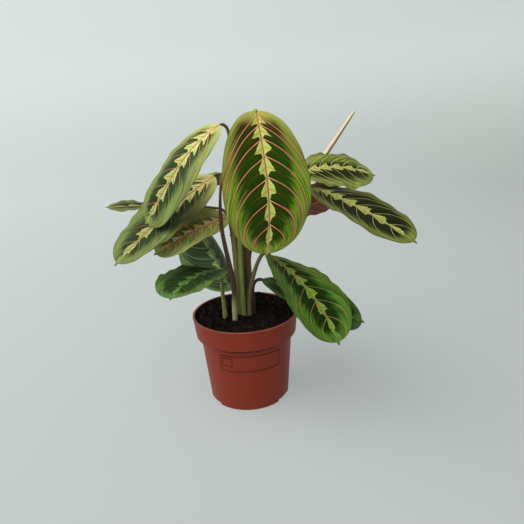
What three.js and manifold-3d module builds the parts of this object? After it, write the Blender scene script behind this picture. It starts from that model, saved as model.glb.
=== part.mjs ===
// Potted prayer plant (Maranta leuconeura, the red-veined kind): a young plant with sixteen
// open leaves and one new leaf still rolled up, in a moulded nursery pot filled with peat.
// Millimetres, +Z up. The origin is the middle of the pot's base, on the surface it stands on.
// The plant faces -Y.

import * as THREE from 'three';
import { mergeVertices } from 'three/addons/utils/BufferGeometryUtils.js';
import Module from 'manifold-3d';

const wasm = await Module();
wasm.setup();

const DEG = Math.PI / 180;

// Pot: a 12 cm nursery pot with a straight band under its rim.
const POT = {
  rimRadius: 60,
  height: 102,
  bandBottomRadius: 57.5,
  bandBottomZ: 79.5,
  shoulderRadius: 52.3,
  shoulderZ: 76.6,
  baseRadius: 45.7,
  wall: 1.7,
  floor: 5.2,
  sides: 40,
};
// Underside: a flat middle, a drainage channel round it, and a foot ring with three gaps.
const FOOT = {
  padRadius: 27,
  channelInner: 28.5,
  channelOuter: 39,
  ringInner: 40,
  channelDepth: 3,
  gapAngles: [-150, -30, 90],
  gapWidth: 28,
  holeRadius: 3.6,
  holeCount: 6,
  holeCircle: 33.8,
};
// Peat: its level near the wall, how it mounds, and the gap that it keeps to the pot.
const PEAT = {
  gap: 0.35,
  level: 97.6,
  mound: 2.4,
  tiltX: 0.9,
  tiltY: 1.9,
  lump: 0.7,
  rings: [48, 38, 27, 15],
};
// Leaf stems: thick at the soil, thin at the blade, set in plain holes in the peat.
const STEM = {
  rootRadius: 2.8,
  bladeRadius: 1.4,
  taper: 0.85,
  sunkZ: 84,
  sides: 6,
  stepsPerBend: 3,
  holeGap: 0.35,
  bladeGap: 0.35,
};
// Leaf blades: a thin shell that is cut into rows along the leaf and columns across it.
const BLADE = {
  thickness: 0.8,
  ribDrop: 0.7,
  rows: 12,
  columns: [-1, -0.74, -0.42, -0.1, 0, 0.1, 0.42, 0.74, 1],
  stalkHalfWidth: 1.4,
  nibHalfWidth: 1.6,
  nibEndHalfWidth: 0.4,
  nibShare: 0.028,
  baseRoundness: 0.52,
  tipRoundness: 0.54,
  fullness: 1.14,
  midribSteps: 240,
  waveHeight: 1.5,
};
// The new leaf, rolled into a spike.
const SPIKE = {
  base: [68, 56, 222],
  tip: [136, 58, 313],
  bow: 3,
  root: [2, 22.5],
  stem: [[2, 22.5, 115], [0, 26, 190], [34, 52, 205]],
  radii: [1.5, 2.3, 2.9, 3.0, 2.8, 2.4, 1.8, 0.7],
  sides: 8,
};

const COLOUR = {
  pot: 0x8e4334,
  peat: 0x2a211c,
  stem: 0x6d7a3c,
  leaf: 0x4f7a2f,
  spike: 0xd9c7a4,
};

// Each leaf: where its blade starts, which way it leaves (heading turns from +X towards +Y,
// pitch is up), how far it droops over its length, how it rolls and twists about its midrib,
// how its midrib bends sideways, and how each half (left, right of the midrib) folds and curls.
// root is where its stem stands in the peat, and stem lists the points that it bends round.
// hook is how far before the blade the stem turns into the blade's direction. roundness is given
// where a blade's base is broader or narrower than BLADE.baseRoundness makes it.
const LEAVES = [
  {
    name: 'front', base: [25, -45, 321], heading: -94, pitch: -51, droop: -63,
    length: 145, width: 86, roll: -10, twist: -4, bend: [9, -24], fold: [3, 12], curl: [-25, -9],
    root: [-1, -9], stem: [[-1, -9, 120], [-1, -9, 205], [11, -15, 280], [20, -33, 314]], hook: 3,
    roundness: 0.42,
  },
  {
    name: 'upper_left', base: [-11, -20, 309.5], heading: 214, pitch: -29, droop: -76,
    length: 133, width: 61, roll: -43, twist: 15, bend: [-8, -46], fold: [21, -10], curl: [4, -48],
    root: [-5.5, -2], stem: [[-5.5, -2, 115], [-7, -4, 185], [-4, -11, 260], [-2.5, -13, 303]], hook: 3.5,
    roundness: 0.56,
  },
  {
    name: 'mid_left', base: [-24.5, 22, 254], heading: 210, pitch: -20, droop: -16,
    length: 146, width: 72, roll: -27, twist: 13, bend: [7, -1], fold: [-6, 11], curl: [27, -27],
    root: [-11, -16], hook: 5,
    stem: [[-11, -16, 112], [-9, -16, 142], [-14, -21, 175], [-18, -26, 208], [-18, -2, 240], [-15, 20, 256]],
  },
  {
    name: 'inner_left', base: [-12, 8, 210], heading: 198, pitch: 6, droop: -31,
    length: 91, width: 61, roll: -45, twist: -4, bend: [16, -15], fold: [19, 3], curl: [42, -20],
    root: [-4.5, 6], stem: [[-4.5, 6, 112], [-4, 8, 165], [-3, 13, 207]], hook: 6, roundness: 0.56,
  },
  {
    name: 'far_left', base: [-57.5, 48, 217], heading: 191, pitch: 8, droop: -5,
    length: 95, width: 54, roll: 5, twist: -14, bend: [3, 3], fold: [3, 1], curl: [2, -3],
    root: [-7.5, 14], stem: [[-7.5, 14, 112], [-8, 16, 180], [-14, 40, 212]], hook: 24,
  },
  {
    name: 'back_left', base: [8, 27, 236], heading: 138, pitch: 8, droop: -14,
    length: 92, width: 58, roll: 0, twist: 0, bend: [0, 0], fold: [32, 28], curl: [-10, -10],
    root: [-1, 14.5], stem: [[-1, 14.5, 115], [2, 17, 170], [13, 21, 224]], hook: 6,
  },
  {
    name: 'shade_left', base: [-12.5, 0, 128], heading: 95, pitch: 74, droop: -8,
    length: 92, width: 74, roll: 0, twist: 0, bend: [24, -5], fold: [0, -72], curl: [0, 0],
    root: [-11, -8.5], stem: [[-11, -8.5, 104], [-12.5, -6, 116]], hook: 5,
  },
  {
    name: 'low_left', base: [-20, -10, 156], heading: 227, pitch: 15, droop: -29,
    length: 96, width: 64, roll: 1, twist: -7, bend: [5, 26], fold: [1, 0], curl: [10, 10],
    root: [-22, -10], stem: [[-22, -10, 110], [-24, -9, 140], [-22, -5, 153]], hook: 4,
    roundness: 0.56,
  },
  {
    name: 'upper_right', base: [60, -5, 255], heading: 13, pitch: 11, droop: -37,
    length: 100, width: 61, roll: 14, twist: 10, bend: [6, -5], fold: [0, -10], curl: [11, -16],
    root: [3.5, 8], stem: [[3.5, 8, 115], [3, 7, 190], [18, 0, 244]], hook: 14,
  },
  {
    name: 'mid_right', base: [78, -8, 242], heading: -32, pitch: -9, droop: -16,
    length: 129, width: 65, roll: 15, twist: 8, bend: [-12, 3], fold: [-4, 4], curl: [-6, 21],
    root: [1.5, 0.5], stem: [[1.5, 0.5, 106], [7.5, 1, 135], [6, 1, 178], [30, 4, 224]], hook: 16,
  },
  {
    name: 'inner_right', base: [38, 22, 206], heading: 14, pitch: 14, droop: -10,
    length: 88, width: 60, roll: -52, twist: 0, bend: [0, 0], fold: [8, 8], curl: [0, 0],
    root: [7, 15], stem: [[7, 15, 112], [6.5, 14, 165], [24, 19, 202]], hook: 8,
  },
  {
    name: 'low_right', base: [31, -20, 173], heading: -44, pitch: -18, droop: -31,
    length: 125, width: 71, roll: -8, twist: 39, bend: [-4, -9], fold: [-6, 7], curl: [1, 21],
    root: [5.5, -9.5], stem: [[5.5, -9.5, 108], [6.5, -10, 127], [14, -14, 155], [22, -14, 172]], hook: 6,
  },
  {
    name: 'under_right', base: [22, -2, 139], heading: -18, pitch: -10, droop: -34,
    length: 125, width: 64, roll: 6, twist: 19, bend: [0, 23], fold: [-2, -1], curl: [-8, 17],
    root: [10, -3.5], stem: [[10, -3.5, 108], [9.5, -4.5, 125], [12, -3, 136]], hook: 5,
  },
  {
    name: 'back', base: [5, 40, 236], heading: 74, pitch: 20, droop: -60,
    length: 110, width: 62, roll: 0, twist: 0, bend: [0, 0], fold: [8, 8], curl: [0, 0],
    root: [-6, 22], stem: [[-6, 22, 115], [-5, 25, 185]], hook: 12,
  },
  {
    name: 'back_right', base: [16, 34, 188], heading: 66, pitch: 8, droop: -45,
    length: 104, width: 60, roll: 5, twist: 0, bend: [0, 0], fold: [8, 8], curl: [0, 0],
    root: [9.5, 23], stem: [[9.5, 23, 112], [7, 21.5, 150]], hook: 12,
  },
  {
    name: 'low_back', base: [12, 46, 166], heading: 92, pitch: 10, droop: -45,
    length: 98, width: 56, roll: 0, twist: 0, bend: [0, 0], fold: [8, 8], curl: [0, 0],
    root: [2, 31], stem: [[2, 31, 112], [3, 31, 150]], hook: 8,
  },
];

// Vectors

const vector = (x, y, z) => new THREE.Vector3(x, y, z);

function mix(terms) {
  const sum = vector(0, 0, 0);
  for (const [direction, amount] of terms) {
    sum.addScaledVector(direction, amount);
  }
  return sum;
}

function clamp(value, low, high) {
  return Math.min(Math.max(value, low), high);
}

// Meshes and solids

function meshGeometry(points, triangles) {
  const geometry = new THREE.BufferGeometry();
  const positions = points.flatMap((p) => [p.x, p.y, p.z]);
  geometry.setAttribute('position', new THREE.Float32BufferAttribute(positions, 3));
  geometry.setIndex(triangles.flat());
  return geometry;
}

function toSolid(source) {
  const bare = source.clone();
  bare.deleteAttribute('normal');
  bare.deleteAttribute('uv');
  const merged = mergeVertices(bare, 1e-4);
  const index = merged.index.array;
  const kept = [];
  for (let i = 0; i < index.length; i += 3) {
    const [a, b, c] = index.slice(i, i + 3);
    if (a !== b && b !== c && c !== a) {
      kept.push(a, b, c);
    }
  }
  return new wasm.Manifold(new wasm.Mesh({
    numProp: 3,
    vertProperties: new Float32Array(merged.attributes.position.array),
    triVerts: new Uint32Array(kept),
  }));
}

function toGeometry(solid) {
  const mesh = solid.getMesh();
  const geometry = new THREE.BufferGeometry();
  geometry.setAttribute('position', new THREE.BufferAttribute(new Float32Array(mesh.vertProperties), 3));
  geometry.setIndex(new THREE.BufferAttribute(new Uint32Array(mesh.triVerts), 1));
  return geometry;
}

// A lathe turns about Y, so its result is laid over to turn about Z.
function revolve(profile, sides) {
  const outline = profile.map(([radius, z]) => new THREE.Vector2(radius, z));
  return new THREE.LatheGeometry(outline, sides).rotateX(Math.PI / 2);
}

// Pot

function potRadiusAt(z) {
  if (z > POT.bandBottomZ) {
    const up = (z - POT.bandBottomZ) / (POT.height - POT.bandBottomZ);
    return POT.bandBottomRadius + up * (POT.rimRadius - POT.bandBottomRadius);
  }
  return POT.baseRadius + (z / POT.shoulderZ) * (POT.shoulderRadius - POT.baseRadius);
}

// Inner surface of the pot's wall, from the top down, moved inwards by a gap.
function innerWall(gap, topZ) {
  const wall = POT.wall + gap;
  return [
    [potRadiusAt(topZ) - wall, topZ],
    [potRadiusAt(POT.bandBottomZ + 1.2) - wall, POT.bandBottomZ + 1.2 + gap],
    [POT.shoulderRadius - wall, POT.shoulderZ + 1 + gap],
    [potRadiusAt(POT.floor) - wall, POT.floor + gap],
  ];
}

function footGap(angle) {
  const inner = FOOT.channelOuter - 1;
  const outer = POT.baseRadius + 2;
  const half = (FOOT.gapWidth / 2) * DEG;
  const shape = new THREE.Shape();
  shape.absarc(0, 0, outer, -half, half, false);
  shape.absarc(0, 0, inner, half, -half, true);
  const depth = FOOT.channelDepth + 1;
  const slab = new THREE.ExtrudeGeometry(shape, { depth, bevelEnabled: false, curveSegments: 4 });
  return slab.rotateZ(angle * DEG).translate(0, 0, -1);
}

function drainHole(number) {
  const angle = (number * 2 * Math.PI) / FOOT.holeCount;
  const tool = new THREE.CylinderGeometry(FOOT.holeRadius, FOOT.holeRadius, 3 * POT.floor, 12);
  const x = FOOT.holeCircle * Math.cos(angle);
  const y = FOOT.holeCircle * Math.sin(angle);
  return tool.rotateX(Math.PI / 2).translate(x, y, 0);
}

function makePot() {
  const lip = 1.1;
  const profile = [
    [0, 0],
    [FOOT.padRadius, 0],
    [FOOT.channelInner, FOOT.channelDepth],
    [FOOT.channelOuter, FOOT.channelDepth],
    [FOOT.ringInner, 0],
    [POT.baseRadius - 0.7, 0],
    [potRadiusAt(0.8), 0.8],
    [POT.shoulderRadius, POT.shoulderZ],
    [POT.bandBottomRadius - 0.3, POT.bandBottomZ - 0.8],
    [POT.bandBottomRadius, POT.bandBottomZ],
    [potRadiusAt(POT.height - 2.4) - 0.2, POT.height - 2.4],
    [POT.rimRadius, POT.height - 1.6],
    [POT.rimRadius, POT.height - 0.5],
    [POT.rimRadius - 0.5, POT.height],
    [POT.rimRadius - POT.wall - lip + 0.5, POT.height],
    [POT.rimRadius - POT.wall - lip, POT.height - 0.6],
    ...innerWall(0, POT.height - 2.6),
    [0, POT.floor],
  ];
  let pot = toSolid(revolve(profile, POT.sides));
  for (const angle of FOOT.gapAngles) {
    pot = pot.subtract(toSolid(footGap(angle)));
  }
  for (let number = 0; number < FOOT.holeCount; number += 1) {
    pot = pot.subtract(toSolid(drainHole(number)));
  }
  return toGeometry(pot);
}

// Peat

function peatHeight(x, y) {
  const across = potRadiusAt(PEAT.level);
  const mound = PEAT.mound * (1 - (x * x + y * y) / across ** 2);
  const tilt = (PEAT.tiltX * x + PEAT.tiltY * y) / across;
  const lumps = PEAT.lump * Math.sin(0.13 * x + 0.5) * Math.cos(0.15 * y - 0.7);
  return PEAT.level + mound + tilt + lumps;
}

function makePeat(stemTools) {
  const wall = innerWall(PEAT.gap, PEAT.level);
  const profile = [
    [0, POT.floor + PEAT.gap],
    ...wall.reverse(),
    ...PEAT.rings.map((radius) => [radius, PEAT.level]),
    [0, PEAT.level],
  ];
  const block = revolve(profile, POT.sides);
  const position = block.attributes.position;
  for (let i = 0; i < position.count; i += 1) {
    if (position.getZ(i) > PEAT.level - 0.01) {
      position.setZ(i, peatHeight(position.getX(i), position.getY(i)));
    }
  }
  let peat = toSolid(block);
  for (const tool of stemTools) {
    peat = peat.subtract(toSolid(tool));
  }
  return toGeometry(peat);
}

// Leaf blades

// Half the blade's width at a share s of its length: a short stalk, the oval, a small pointed nib.
function halfWidth(leaf, s) {
  const q = clamp(s / (1 - BLADE.nibShare), 0, 1) ** BLADE.fullness;
  const base = leaf.roundness ?? BLADE.baseRoundness;
  const roundness = base + (BLADE.tipRoundness - base) * s;
  const oval = (Math.max(4 * q * (1 - q), 0) ** roundness * leaf.width) / 2;
  const nibTaper = clamp((1 - s) / BLADE.nibShare, 0, 1) * BLADE.nibHalfWidth;
  const nib = Math.min(nibTaper + BLADE.nibEndHalfWidth, BLADE.nibHalfWidth);
  return Math.max(oval, s > 0.5 ? nib : BLADE.stalkHalfWidth);
}

// Directions at a share s of the midrib: along it, to its left, and out of the upper face.
function bladeFrame(leaf, s) {
  const pitch = (leaf.pitch + leaf.droop * s) * DEG;
  const heading = leaf.heading * DEG;
  const roll = (leaf.roll + leaf.twist * s) * DEG;
  const bend = (leaf.bend[0] + leaf.bend[1] * s * s) * DEG;
  const level = Math.cos(pitch);
  const along = vector(level * Math.cos(heading), level * Math.sin(heading), Math.sin(pitch));
  const side = vector(-Math.sin(heading), Math.cos(heading), 0);
  const up = along.clone().cross(side);
  const left = mix([[side, Math.cos(roll)], [up, Math.sin(roll)]]);
  const out = mix([[side, -Math.sin(roll)], [up, Math.cos(roll)]]);
  return {
    along: mix([[along, Math.cos(bend)], [left, Math.sin(bend)]]),
    left: mix([[left, Math.cos(bend)], [along, -Math.sin(bend)]]),
    out,
  };
}

// Points along the midrib, found by stepping along its direction.
function midribPoints(leaf) {
  const step = leaf.length / BLADE.midribSteps;
  const points = [vector(...leaf.base)];
  for (let i = 0; i < BLADE.midribSteps; i += 1) {
    const middle = bladeFrame(leaf, (i + 0.5) / BLADE.midribSteps).along;
    points.push(points[i].clone().addScaledVector(middle, step));
  }
  return points;
}

function pointOn(points, s) {
  const place = s * (points.length - 1);
  const low = Math.min(Math.floor(place), points.length - 2);
  return points[low].clone().lerp(points[low + 1], place - low);
}

// A point of the blade's middle surface and the direction out of its upper face.
// t runs from -1 at the right edge to 1 at the left edge.
function bladePoint(leaf, midrib, s, t) {
  const frame = bladeFrame(leaf, s);
  const side = t < 0 ? -1 : 1;
  const half = t < 0 ? 1 : 0;
  const reach = Math.abs(t);
  const fold = leaf.fold[half] * DEG;
  let curl = leaf.curl[half] * DEG * Math.sqrt(Math.sin(Math.PI * clamp(s, 0, 1)));
  if (Math.abs(curl) < 1e-4) {
    curl = 1e-4;
  }
  const angle = fold + curl * reach;
  const width = halfWidth(leaf, s);
  const across = (width * (Math.sin(angle) - Math.sin(fold))) / curl;
  const rise = (width * (Math.cos(fold) - Math.cos(angle))) / curl;
  const phase = 2 * Math.PI * (leaf.waves * s + 0.13 * side + leaf.wavePhase);
  const wave = BLADE.waveHeight * Math.sin(phase) * reach ** 2.5 * Math.sin(Math.PI * s);
  const point = pointOn(midrib, s);
  point.addScaledVector(frame.left, side * across);
  point.addScaledVector(frame.out, rise + wave);
  const lean = t === 0 ? (leaf.fold[0] - leaf.fold[1]) * 0.5 * DEG : side * angle;
  const normal = mix([[frame.out, Math.cos(lean)], [frame.left, -Math.sin(lean)]]);
  return { point, normal };
}

function rowShares() {
  const shares = [];
  for (let row = 0; row <= BLADE.rows; row += 1) {
    shares.push(0.5 - 0.5 * Math.cos((Math.PI * row) / BLADE.rows));
  }
  return shares;
}

// Upper and lower grids of points, joined round the edge. Both faces are cut along the same
// diagonals, and the midrib stands out below as a low ridge.
function makeBlade(leaf) {
  const midrib = midribPoints(leaf);
  const shares = rowShares();
  const columns = BLADE.columns;
  const wide = columns.length;
  const points = [];
  for (const face of [1, -1]) {
    for (const s of shares) {
      for (const t of columns) {
        const { point, normal } = bladePoint(leaf, midrib, s, t);
        const rib = t === 0 && face < 0 ? BLADE.ribDrop * Math.sqrt(1 - s) : 0;
        points.push(point.addScaledVector(normal, face * (BLADE.thickness / 2 + rib)));
      }
    }
  }
  const lower = shares.length * wide;
  const last = shares.length - 1;
  const triangles = [];
  const quad = (a, b, c, d) => triangles.push([a, b, c], [a, c, d]);
  for (let row = 0; row < last; row += 1) {
    for (let column = 0; column < wide - 1; column += 1) {
      const a = row * wide + column;
      const b = a + wide;
      quad(a, b, b + 1, a + 1);
      triangles.push([lower + a, lower + b + 1, lower + b], [lower + a, lower + a + 1, lower + b + 1]);
    }
    const right = row * wide;
    const left = right + wide - 1;
    quad(right, lower + right, lower + right + wide, right + wide);
    quad(left, left + wide, lower + left + wide, lower + left);
  }
  for (let column = 0; column < wide - 1; column += 1) {
    const near = column;
    const far = last * wide + column;
    quad(near, near + 1, lower + near + 1, lower + near);
    quad(far, lower + far, lower + far + 1, far + 1);
  }
  return meshGeometry(points, triangles);
}

// Stems

// A smooth line: it starts and ends at the first and last point and rounds every other one.
function roundedLine(controls, steps) {
  const points = [controls[0].clone()];
  const last = controls.length - 1;
  for (let k = 1; k < last; k += 1) {
    const start = k === 1 ? controls[0] : controls[k - 1].clone().lerp(controls[k], 0.5);
    const end = k === last - 1 ? controls[last] : controls[k].clone().lerp(controls[k + 1], 0.5);
    const arc = new THREE.QuadraticBezierCurve3(start, controls[k], end);
    for (let i = 1; i <= steps; i += 1) {
      points.push(arc.getPoint(i / steps));
    }
  }
  return points;
}

function lengthsAlong(points) {
  const lengths = [0];
  for (let i = 1; i < points.length; i += 1) {
    lengths.push(lengths[i - 1] + points[i].distanceTo(points[i - 1]));
  }
  return lengths;
}

// A closed round bar along points, with a radius for each of them.
function bar(line, radii, sides) {
  const points = [];
  let across = vector(1, 0, 0);
  line.forEach((centre, i) => {
    const before = line[Math.max(i - 1, 0)];
    const after = line[Math.min(i + 1, line.length - 1)];
    const along = after.clone().sub(before).normalize();
    across = across.addScaledVector(along, -across.dot(along)).normalize();
    const second = along.clone().cross(across);
    for (let k = 0; k < sides; k += 1) {
      const angle = (2 * Math.PI * k) / sides;
      const out = mix([[across, Math.cos(angle)], [second, Math.sin(angle)]]);
      points.push(centre.clone().addScaledVector(out, radii[i]));
    }
  });
  const triangles = [];
  const last = (line.length - 1) * sides;
  for (let ring = 0; ring < last; ring += sides) {
    for (let k = 0; k < sides; k += 1) {
      const a = ring + k;
      const b = ring + ((k + 1) % sides);
      triangles.push([a, b, b + sides], [a, b + sides, a + sides]);
    }
  }
  for (let k = 1; k < sides - 1; k += 1) {
    triangles.push([0, k + 1, k], [last, last + k, last + k + 1]);
  }
  return meshGeometry(points, triangles);
}

// A leaf's stem, from inside the peat to just short of its blade. extra makes the tool for its
// hole: fatter and a little deeper.
function makeStem(leaf, extra) {
  const { along } = bladeFrame(leaf, 0);
  const base = vector(...leaf.base);
  const controls = [
    vector(...leaf.root, STEM.sunkZ - extra),
    ...leaf.stem.map((p) => vector(...p)),
    base.clone().addScaledVector(along, -leaf.hook),
    base.clone().addScaledVector(along, -STEM.bladeGap),
  ];
  const line = roundedLine(controls, STEM.stepsPerBend);
  const lengths = lengthsAlong(line);
  const total = lengths[lengths.length - 1];
  const radii = lengths.map((length) => {
    const thick = (1 - length / total) ** STEM.taper;
    return STEM.bladeRadius + (STEM.rootRadius - STEM.bladeRadius) * thick + extra;
  });
  return bar(line, radii, STEM.sides);
}

// The rolled leaf: a spike that swells from its stem and ends in a point.
function makeSpike() {
  const base = vector(...SPIKE.base);
  const tip = vector(...SPIKE.tip);
  const middle = base.clone().lerp(tip, 0.5).add(vector(-SPIKE.bow, 0, SPIKE.bow));
  const curve = new THREE.QuadraticBezierCurve3(base, middle, tip);
  const line = curve.getPoints(SPIKE.radii.length - 1);
  return bar(line, SPIKE.radii, SPIKE.sides);
}

// The plant

const plant = new THREE.Group();

function addPiece(name, geometry, colour, roughness) {
  const material = new THREE.MeshStandardMaterial({ color: colour, roughness, metalness: 0 });
  const mesh = new THREE.Mesh(geometry, material);
  mesh.name = name;
  plant.add(mesh);
}

LEAVES.forEach((leaf, i) => {
  leaf.waves = 2 + 0.5 * (i % 3);
  leaf.wavePhase = (0.37 * i) % 1;
});

// The rolled leaf's stem is made like the others: it turns into the spike's direction.
const spikeRun = vector(...SPIKE.tip).sub(vector(...SPIKE.base));
const rolledLeaf = {
  base: SPIKE.base,
  heading: Math.atan2(spikeRun.y, spikeRun.x) / DEG,
  pitch: Math.atan2(spikeRun.z, Math.hypot(spikeRun.x, spikeRun.y)) / DEG,
  droop: 0,
  roll: 0,
  twist: 0,
  bend: [0, 0],
  root: SPIKE.root,
  stem: SPIKE.stem,
  hook: 12,
};

const stemTools = [...LEAVES, rolledLeaf].map((leaf) => makeStem(leaf, STEM.holeGap));
addPiece('pot', makePot(), COLOUR.pot, 0.55);
addPiece('peat', makePeat(stemTools), COLOUR.peat, 0.95);
for (const leaf of LEAVES) {
  addPiece(`stem_${leaf.name}`, makeStem(leaf, 0), COLOUR.stem, 0.5);
  addPiece(`leaf_${leaf.name}`, makeBlade(leaf), COLOUR.leaf, 0.45);
}
addPiece('stem_rolled', makeStem(rolledLeaf, 0), COLOUR.stem, 0.5);
addPiece('leaf_rolled', makeSpike(), COLOUR.spike, 0.5);

export default plant;
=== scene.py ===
# %% [markdown]
# A red-veined prayer plant (Maranta leuconeura) in a 12 cm nursery pot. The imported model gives
# every piece its place and its rough form. This lesson gives each piece the surface that the real
# one has: patterned leaves with red veins, hairy stems that turn brown towards the blade, a leaf
# that is still rolled up, crumbly peat and a satin plastic pot.

import math
from functools import partial

import bmesh
import bpy
import numpy as np
from mathutils import Matrix


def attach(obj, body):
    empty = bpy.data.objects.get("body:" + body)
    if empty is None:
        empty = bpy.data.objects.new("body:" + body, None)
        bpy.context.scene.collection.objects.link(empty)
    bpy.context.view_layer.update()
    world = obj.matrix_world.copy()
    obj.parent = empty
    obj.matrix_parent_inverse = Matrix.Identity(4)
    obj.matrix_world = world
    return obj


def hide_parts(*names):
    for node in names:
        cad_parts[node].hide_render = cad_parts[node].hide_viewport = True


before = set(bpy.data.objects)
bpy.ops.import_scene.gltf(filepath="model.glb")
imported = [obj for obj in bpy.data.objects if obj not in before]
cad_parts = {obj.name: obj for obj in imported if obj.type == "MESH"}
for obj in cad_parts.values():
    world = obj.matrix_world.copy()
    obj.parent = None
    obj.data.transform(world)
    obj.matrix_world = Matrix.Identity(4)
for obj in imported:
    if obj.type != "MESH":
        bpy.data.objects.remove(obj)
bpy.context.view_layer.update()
MM = 0.001
BODY = "root"

# %% [markdown]
# A few small helpers serve the whole lesson. Colours are written as sRGB hex values, because that
# is how they read off a photograph, and Blender wants them linear. Every node of every tree comes
# from `add`, which sets the node's properties and either links or sets its inputs. The trees below
# bind it to themselves as `put`, so that a line says only which node it is and what goes into it.
# Every pattern gets its scale from a real size in millimetres, through `per`.

# %% Helpers for colours and nodes
MATH = "ShaderNodeMath"
MIX = "ShaderNodeMix"
NOISE = "ShaderNodeTexNoise"
RANGE = "ShaderNodeMapRange"  # a value, its start and end, what they turn into (or else 0 and 1)
ATTRIBUTE = "ShaderNodeAttribute"
COMBINE = "ShaderNodeCombineXYZ"
SEPARATE = "ShaderNodeSeparateXYZ"
MAPPING = "ShaderNodeMapping"
CURVE = "ShaderNodeFloatCurve"
PLACE = "ShaderNodeTexCoord"
BUMP = "ShaderNodeBump"
# Some are nearly always used with the same setting.
SMOOTH = (RANGE, {"interpolation_type": "SMOOTHSTEP"})
BLEND = (MIX, {"data_type": "RGBA"})  # how much of the second colour, the first and the second
TIMES = (MATH, {"operation": "MULTIPLY"})
PLUS = (MATH, {"operation": "ADD"})
MINUS = (MATH, {"operation": "SUBTRACT"})
PLUS_TIMES = (MATH, {"operation": "MULTIPLY_ADD"})  # the first times the second, plus the third
ABSOLUTE = (MATH, {"operation": "ABSOLUTE"})


def linear(colour):
    """A hex colour as linear red, green, blue and alpha."""
    channels = [int(colour[i : i + 2], 16) / 255 for i in (1, 3, 5)]
    return [c / 12.92 if c <= 0.04045 else ((c + 0.055) / 1.055) ** 2.4 for c in channels] + [1.0]


def per(size):
    """The texture scale that draws features about this many millimetres wide."""
    return 1 / (size * MM)


def add(tree, kind, inputs=(), **settings):
    """One node. kind is its type, alone or with settings. inputs go by name or in their order. Each
    is a value, a hex colour, a socket to link from, or a node, whose first output in use is linked.
    settings are the node's properties, and `points` those of its curve."""
    if isinstance(kind, tuple):
        kind, settings = kind
    node = tree.nodes.new(kind)
    for name, value in settings.items():
        if name != "points":
            setattr(node, name, value)
            continue
        line = node.mapping.curves[0]
        line.points[0].location = value[0]
        line.points[-1].location = value[-1]
        for point in value[1:-1]:
            line.points.new(*point)
        node.mapping.update()
    if isinstance(inputs, dict):
        pairs = [(node.inputs[key], value) for key, value in inputs.items()]
    else:
        pairs = zip([socket for socket in node.inputs if socket.enabled], inputs)
    for socket, value in pairs:
        if isinstance(value, bpy.types.Node):
            value = next(output for output in value.outputs if output.enabled)
        if isinstance(value, bpy.types.NodeSocket):
            tree.links.new(value, socket)
        elif isinstance(value, str) and value.startswith("#"):
            socket.default_value = linear(value)
        else:
            socket.default_value = value
    return node


print("#808080 is", round(linear("#808080")[0], 3), "of the light")

# %% [markdown]
# Most pieces start as points that a rule works out, so they are built as meshes straight from the
# points. Numbers and colours that a finish needs are stored with the points. Each material starts
# with an empty tree and ends in one Principled shader, and each piece is handed to the frame.

# %% Helpers for meshes, materials and pieces
def around(count):
    """Angles of points that are spread evenly round a circle."""
    return np.arange(count) * 2 * math.pi / count


def level_ring(radius, height, turn):
    """Points of a level circle, at these angles."""
    return [(radius * math.cos(a), radius * math.sin(a), height) for a in turn]


def mesh_object(name, points, faces, attributes=None):
    """A mesh object at the origin, from points in millimetres. An attribute is one number or one
    linear colour, for all points or for each of them."""
    mesh = bpy.data.meshes.new(name)
    mesh.from_pydata((np.asarray(points) * MM).tolist(), [], faces)
    for key, values in (attributes or {}).items():
        store(mesh, key, values)
    mesh.shade_smooth()
    piece = bpy.data.objects.new(name, mesh)
    bpy.context.scene.collection.objects.link(piece)
    return piece


def store(mesh, key, values):
    """Stores a number or a linear colour with each point of a mesh."""
    values = np.asarray(values, dtype=np.float32)
    is_colour = values.shape[-1:] == (4,)
    layer = mesh.attributes.new(key, "FLOAT_COLOR" if is_colour else "FLOAT", "POINT")
    shape = (len(mesh.vertices), 4) if is_colour else (len(mesh.vertices),)
    what = "color" if is_colour else "value"
    layer.data.foreach_set(what, np.broadcast_to(values, shape).ravel())


def path_object(name, points, closed=False):
    """A line of mesh edges through points in millimetres, for a tree to turn into a curve."""
    piece = mesh_object(name, points, [])
    count = len(points) if closed else len(points) - 1
    piece.data.edges.add(count)
    pairs = [v for k in range(count) for v in (k, (k + 1) % len(points))]
    piece.data.edges.foreach_set("vertices", pairs)
    return piece


def start_material(name):
    """A material with an empty tree, and the function that adds a node to that tree."""
    material = bpy.data.materials.new(name)
    material.use_nodes = True
    material.node_tree.nodes.clear()
    return material, partial(add, material.node_tree)


def end_material(material, inputs):
    """Ends the material's tree in one Principled shader with these inputs."""
    shader = add(material.node_tree, "ShaderNodeBsdfPrincipled", inputs)
    add(material.node_tree, "ShaderNodeOutputMaterial", {"Surface": shader})
    return material


def finish_piece(piece, node=None):
    """Hands a piece to the frame: hides the imported part that it stands for, and attaches it to
    its body.
    """
    if node:
        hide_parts(node)
    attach(piece, BODY)


print("a ring of four:", level_ring(1, 0, around(4).round(2))[1][:2])

# %% [markdown]
# The camera stands where the photograph was taken from: half a metre in front of the plant, a
# little to its right, at the height of the top leaves, looking down. These numbers come from the
# pot, whose rim, band and base have known sizes.

# %% Camera
CAMERA_AT = (22.6, -533.9, 329.1)  # mm
CAMERA_DOWN = math.radians(17.65)
CAMERA_TURN = math.radians(-3.2)
FOCAL_PIXELS = 503  # focal length as a count of pixels in a frame 524 wide
FRAME_PIXELS = 524

camera_data = bpy.data.cameras.new("camera")
camera_data.sensor_width = 36
camera_data.lens = camera_data.sensor_width * FOCAL_PIXELS / FRAME_PIXELS
camera = bpy.data.objects.new("camera", camera_data)
tilt = Matrix.Rotation(math.pi / 2 - CAMERA_DOWN, 4, "X") @ Matrix.Rotation(CAMERA_TURN, 4, "Z")
camera.matrix_world = Matrix.Translation([v * MM for v in CAMERA_AT]) @ tilt
bpy.context.scene.collection.objects.link(camera)
bpy.context.scene.camera = camera
print(f"lens {camera_data.lens:.2f} mm")
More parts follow.
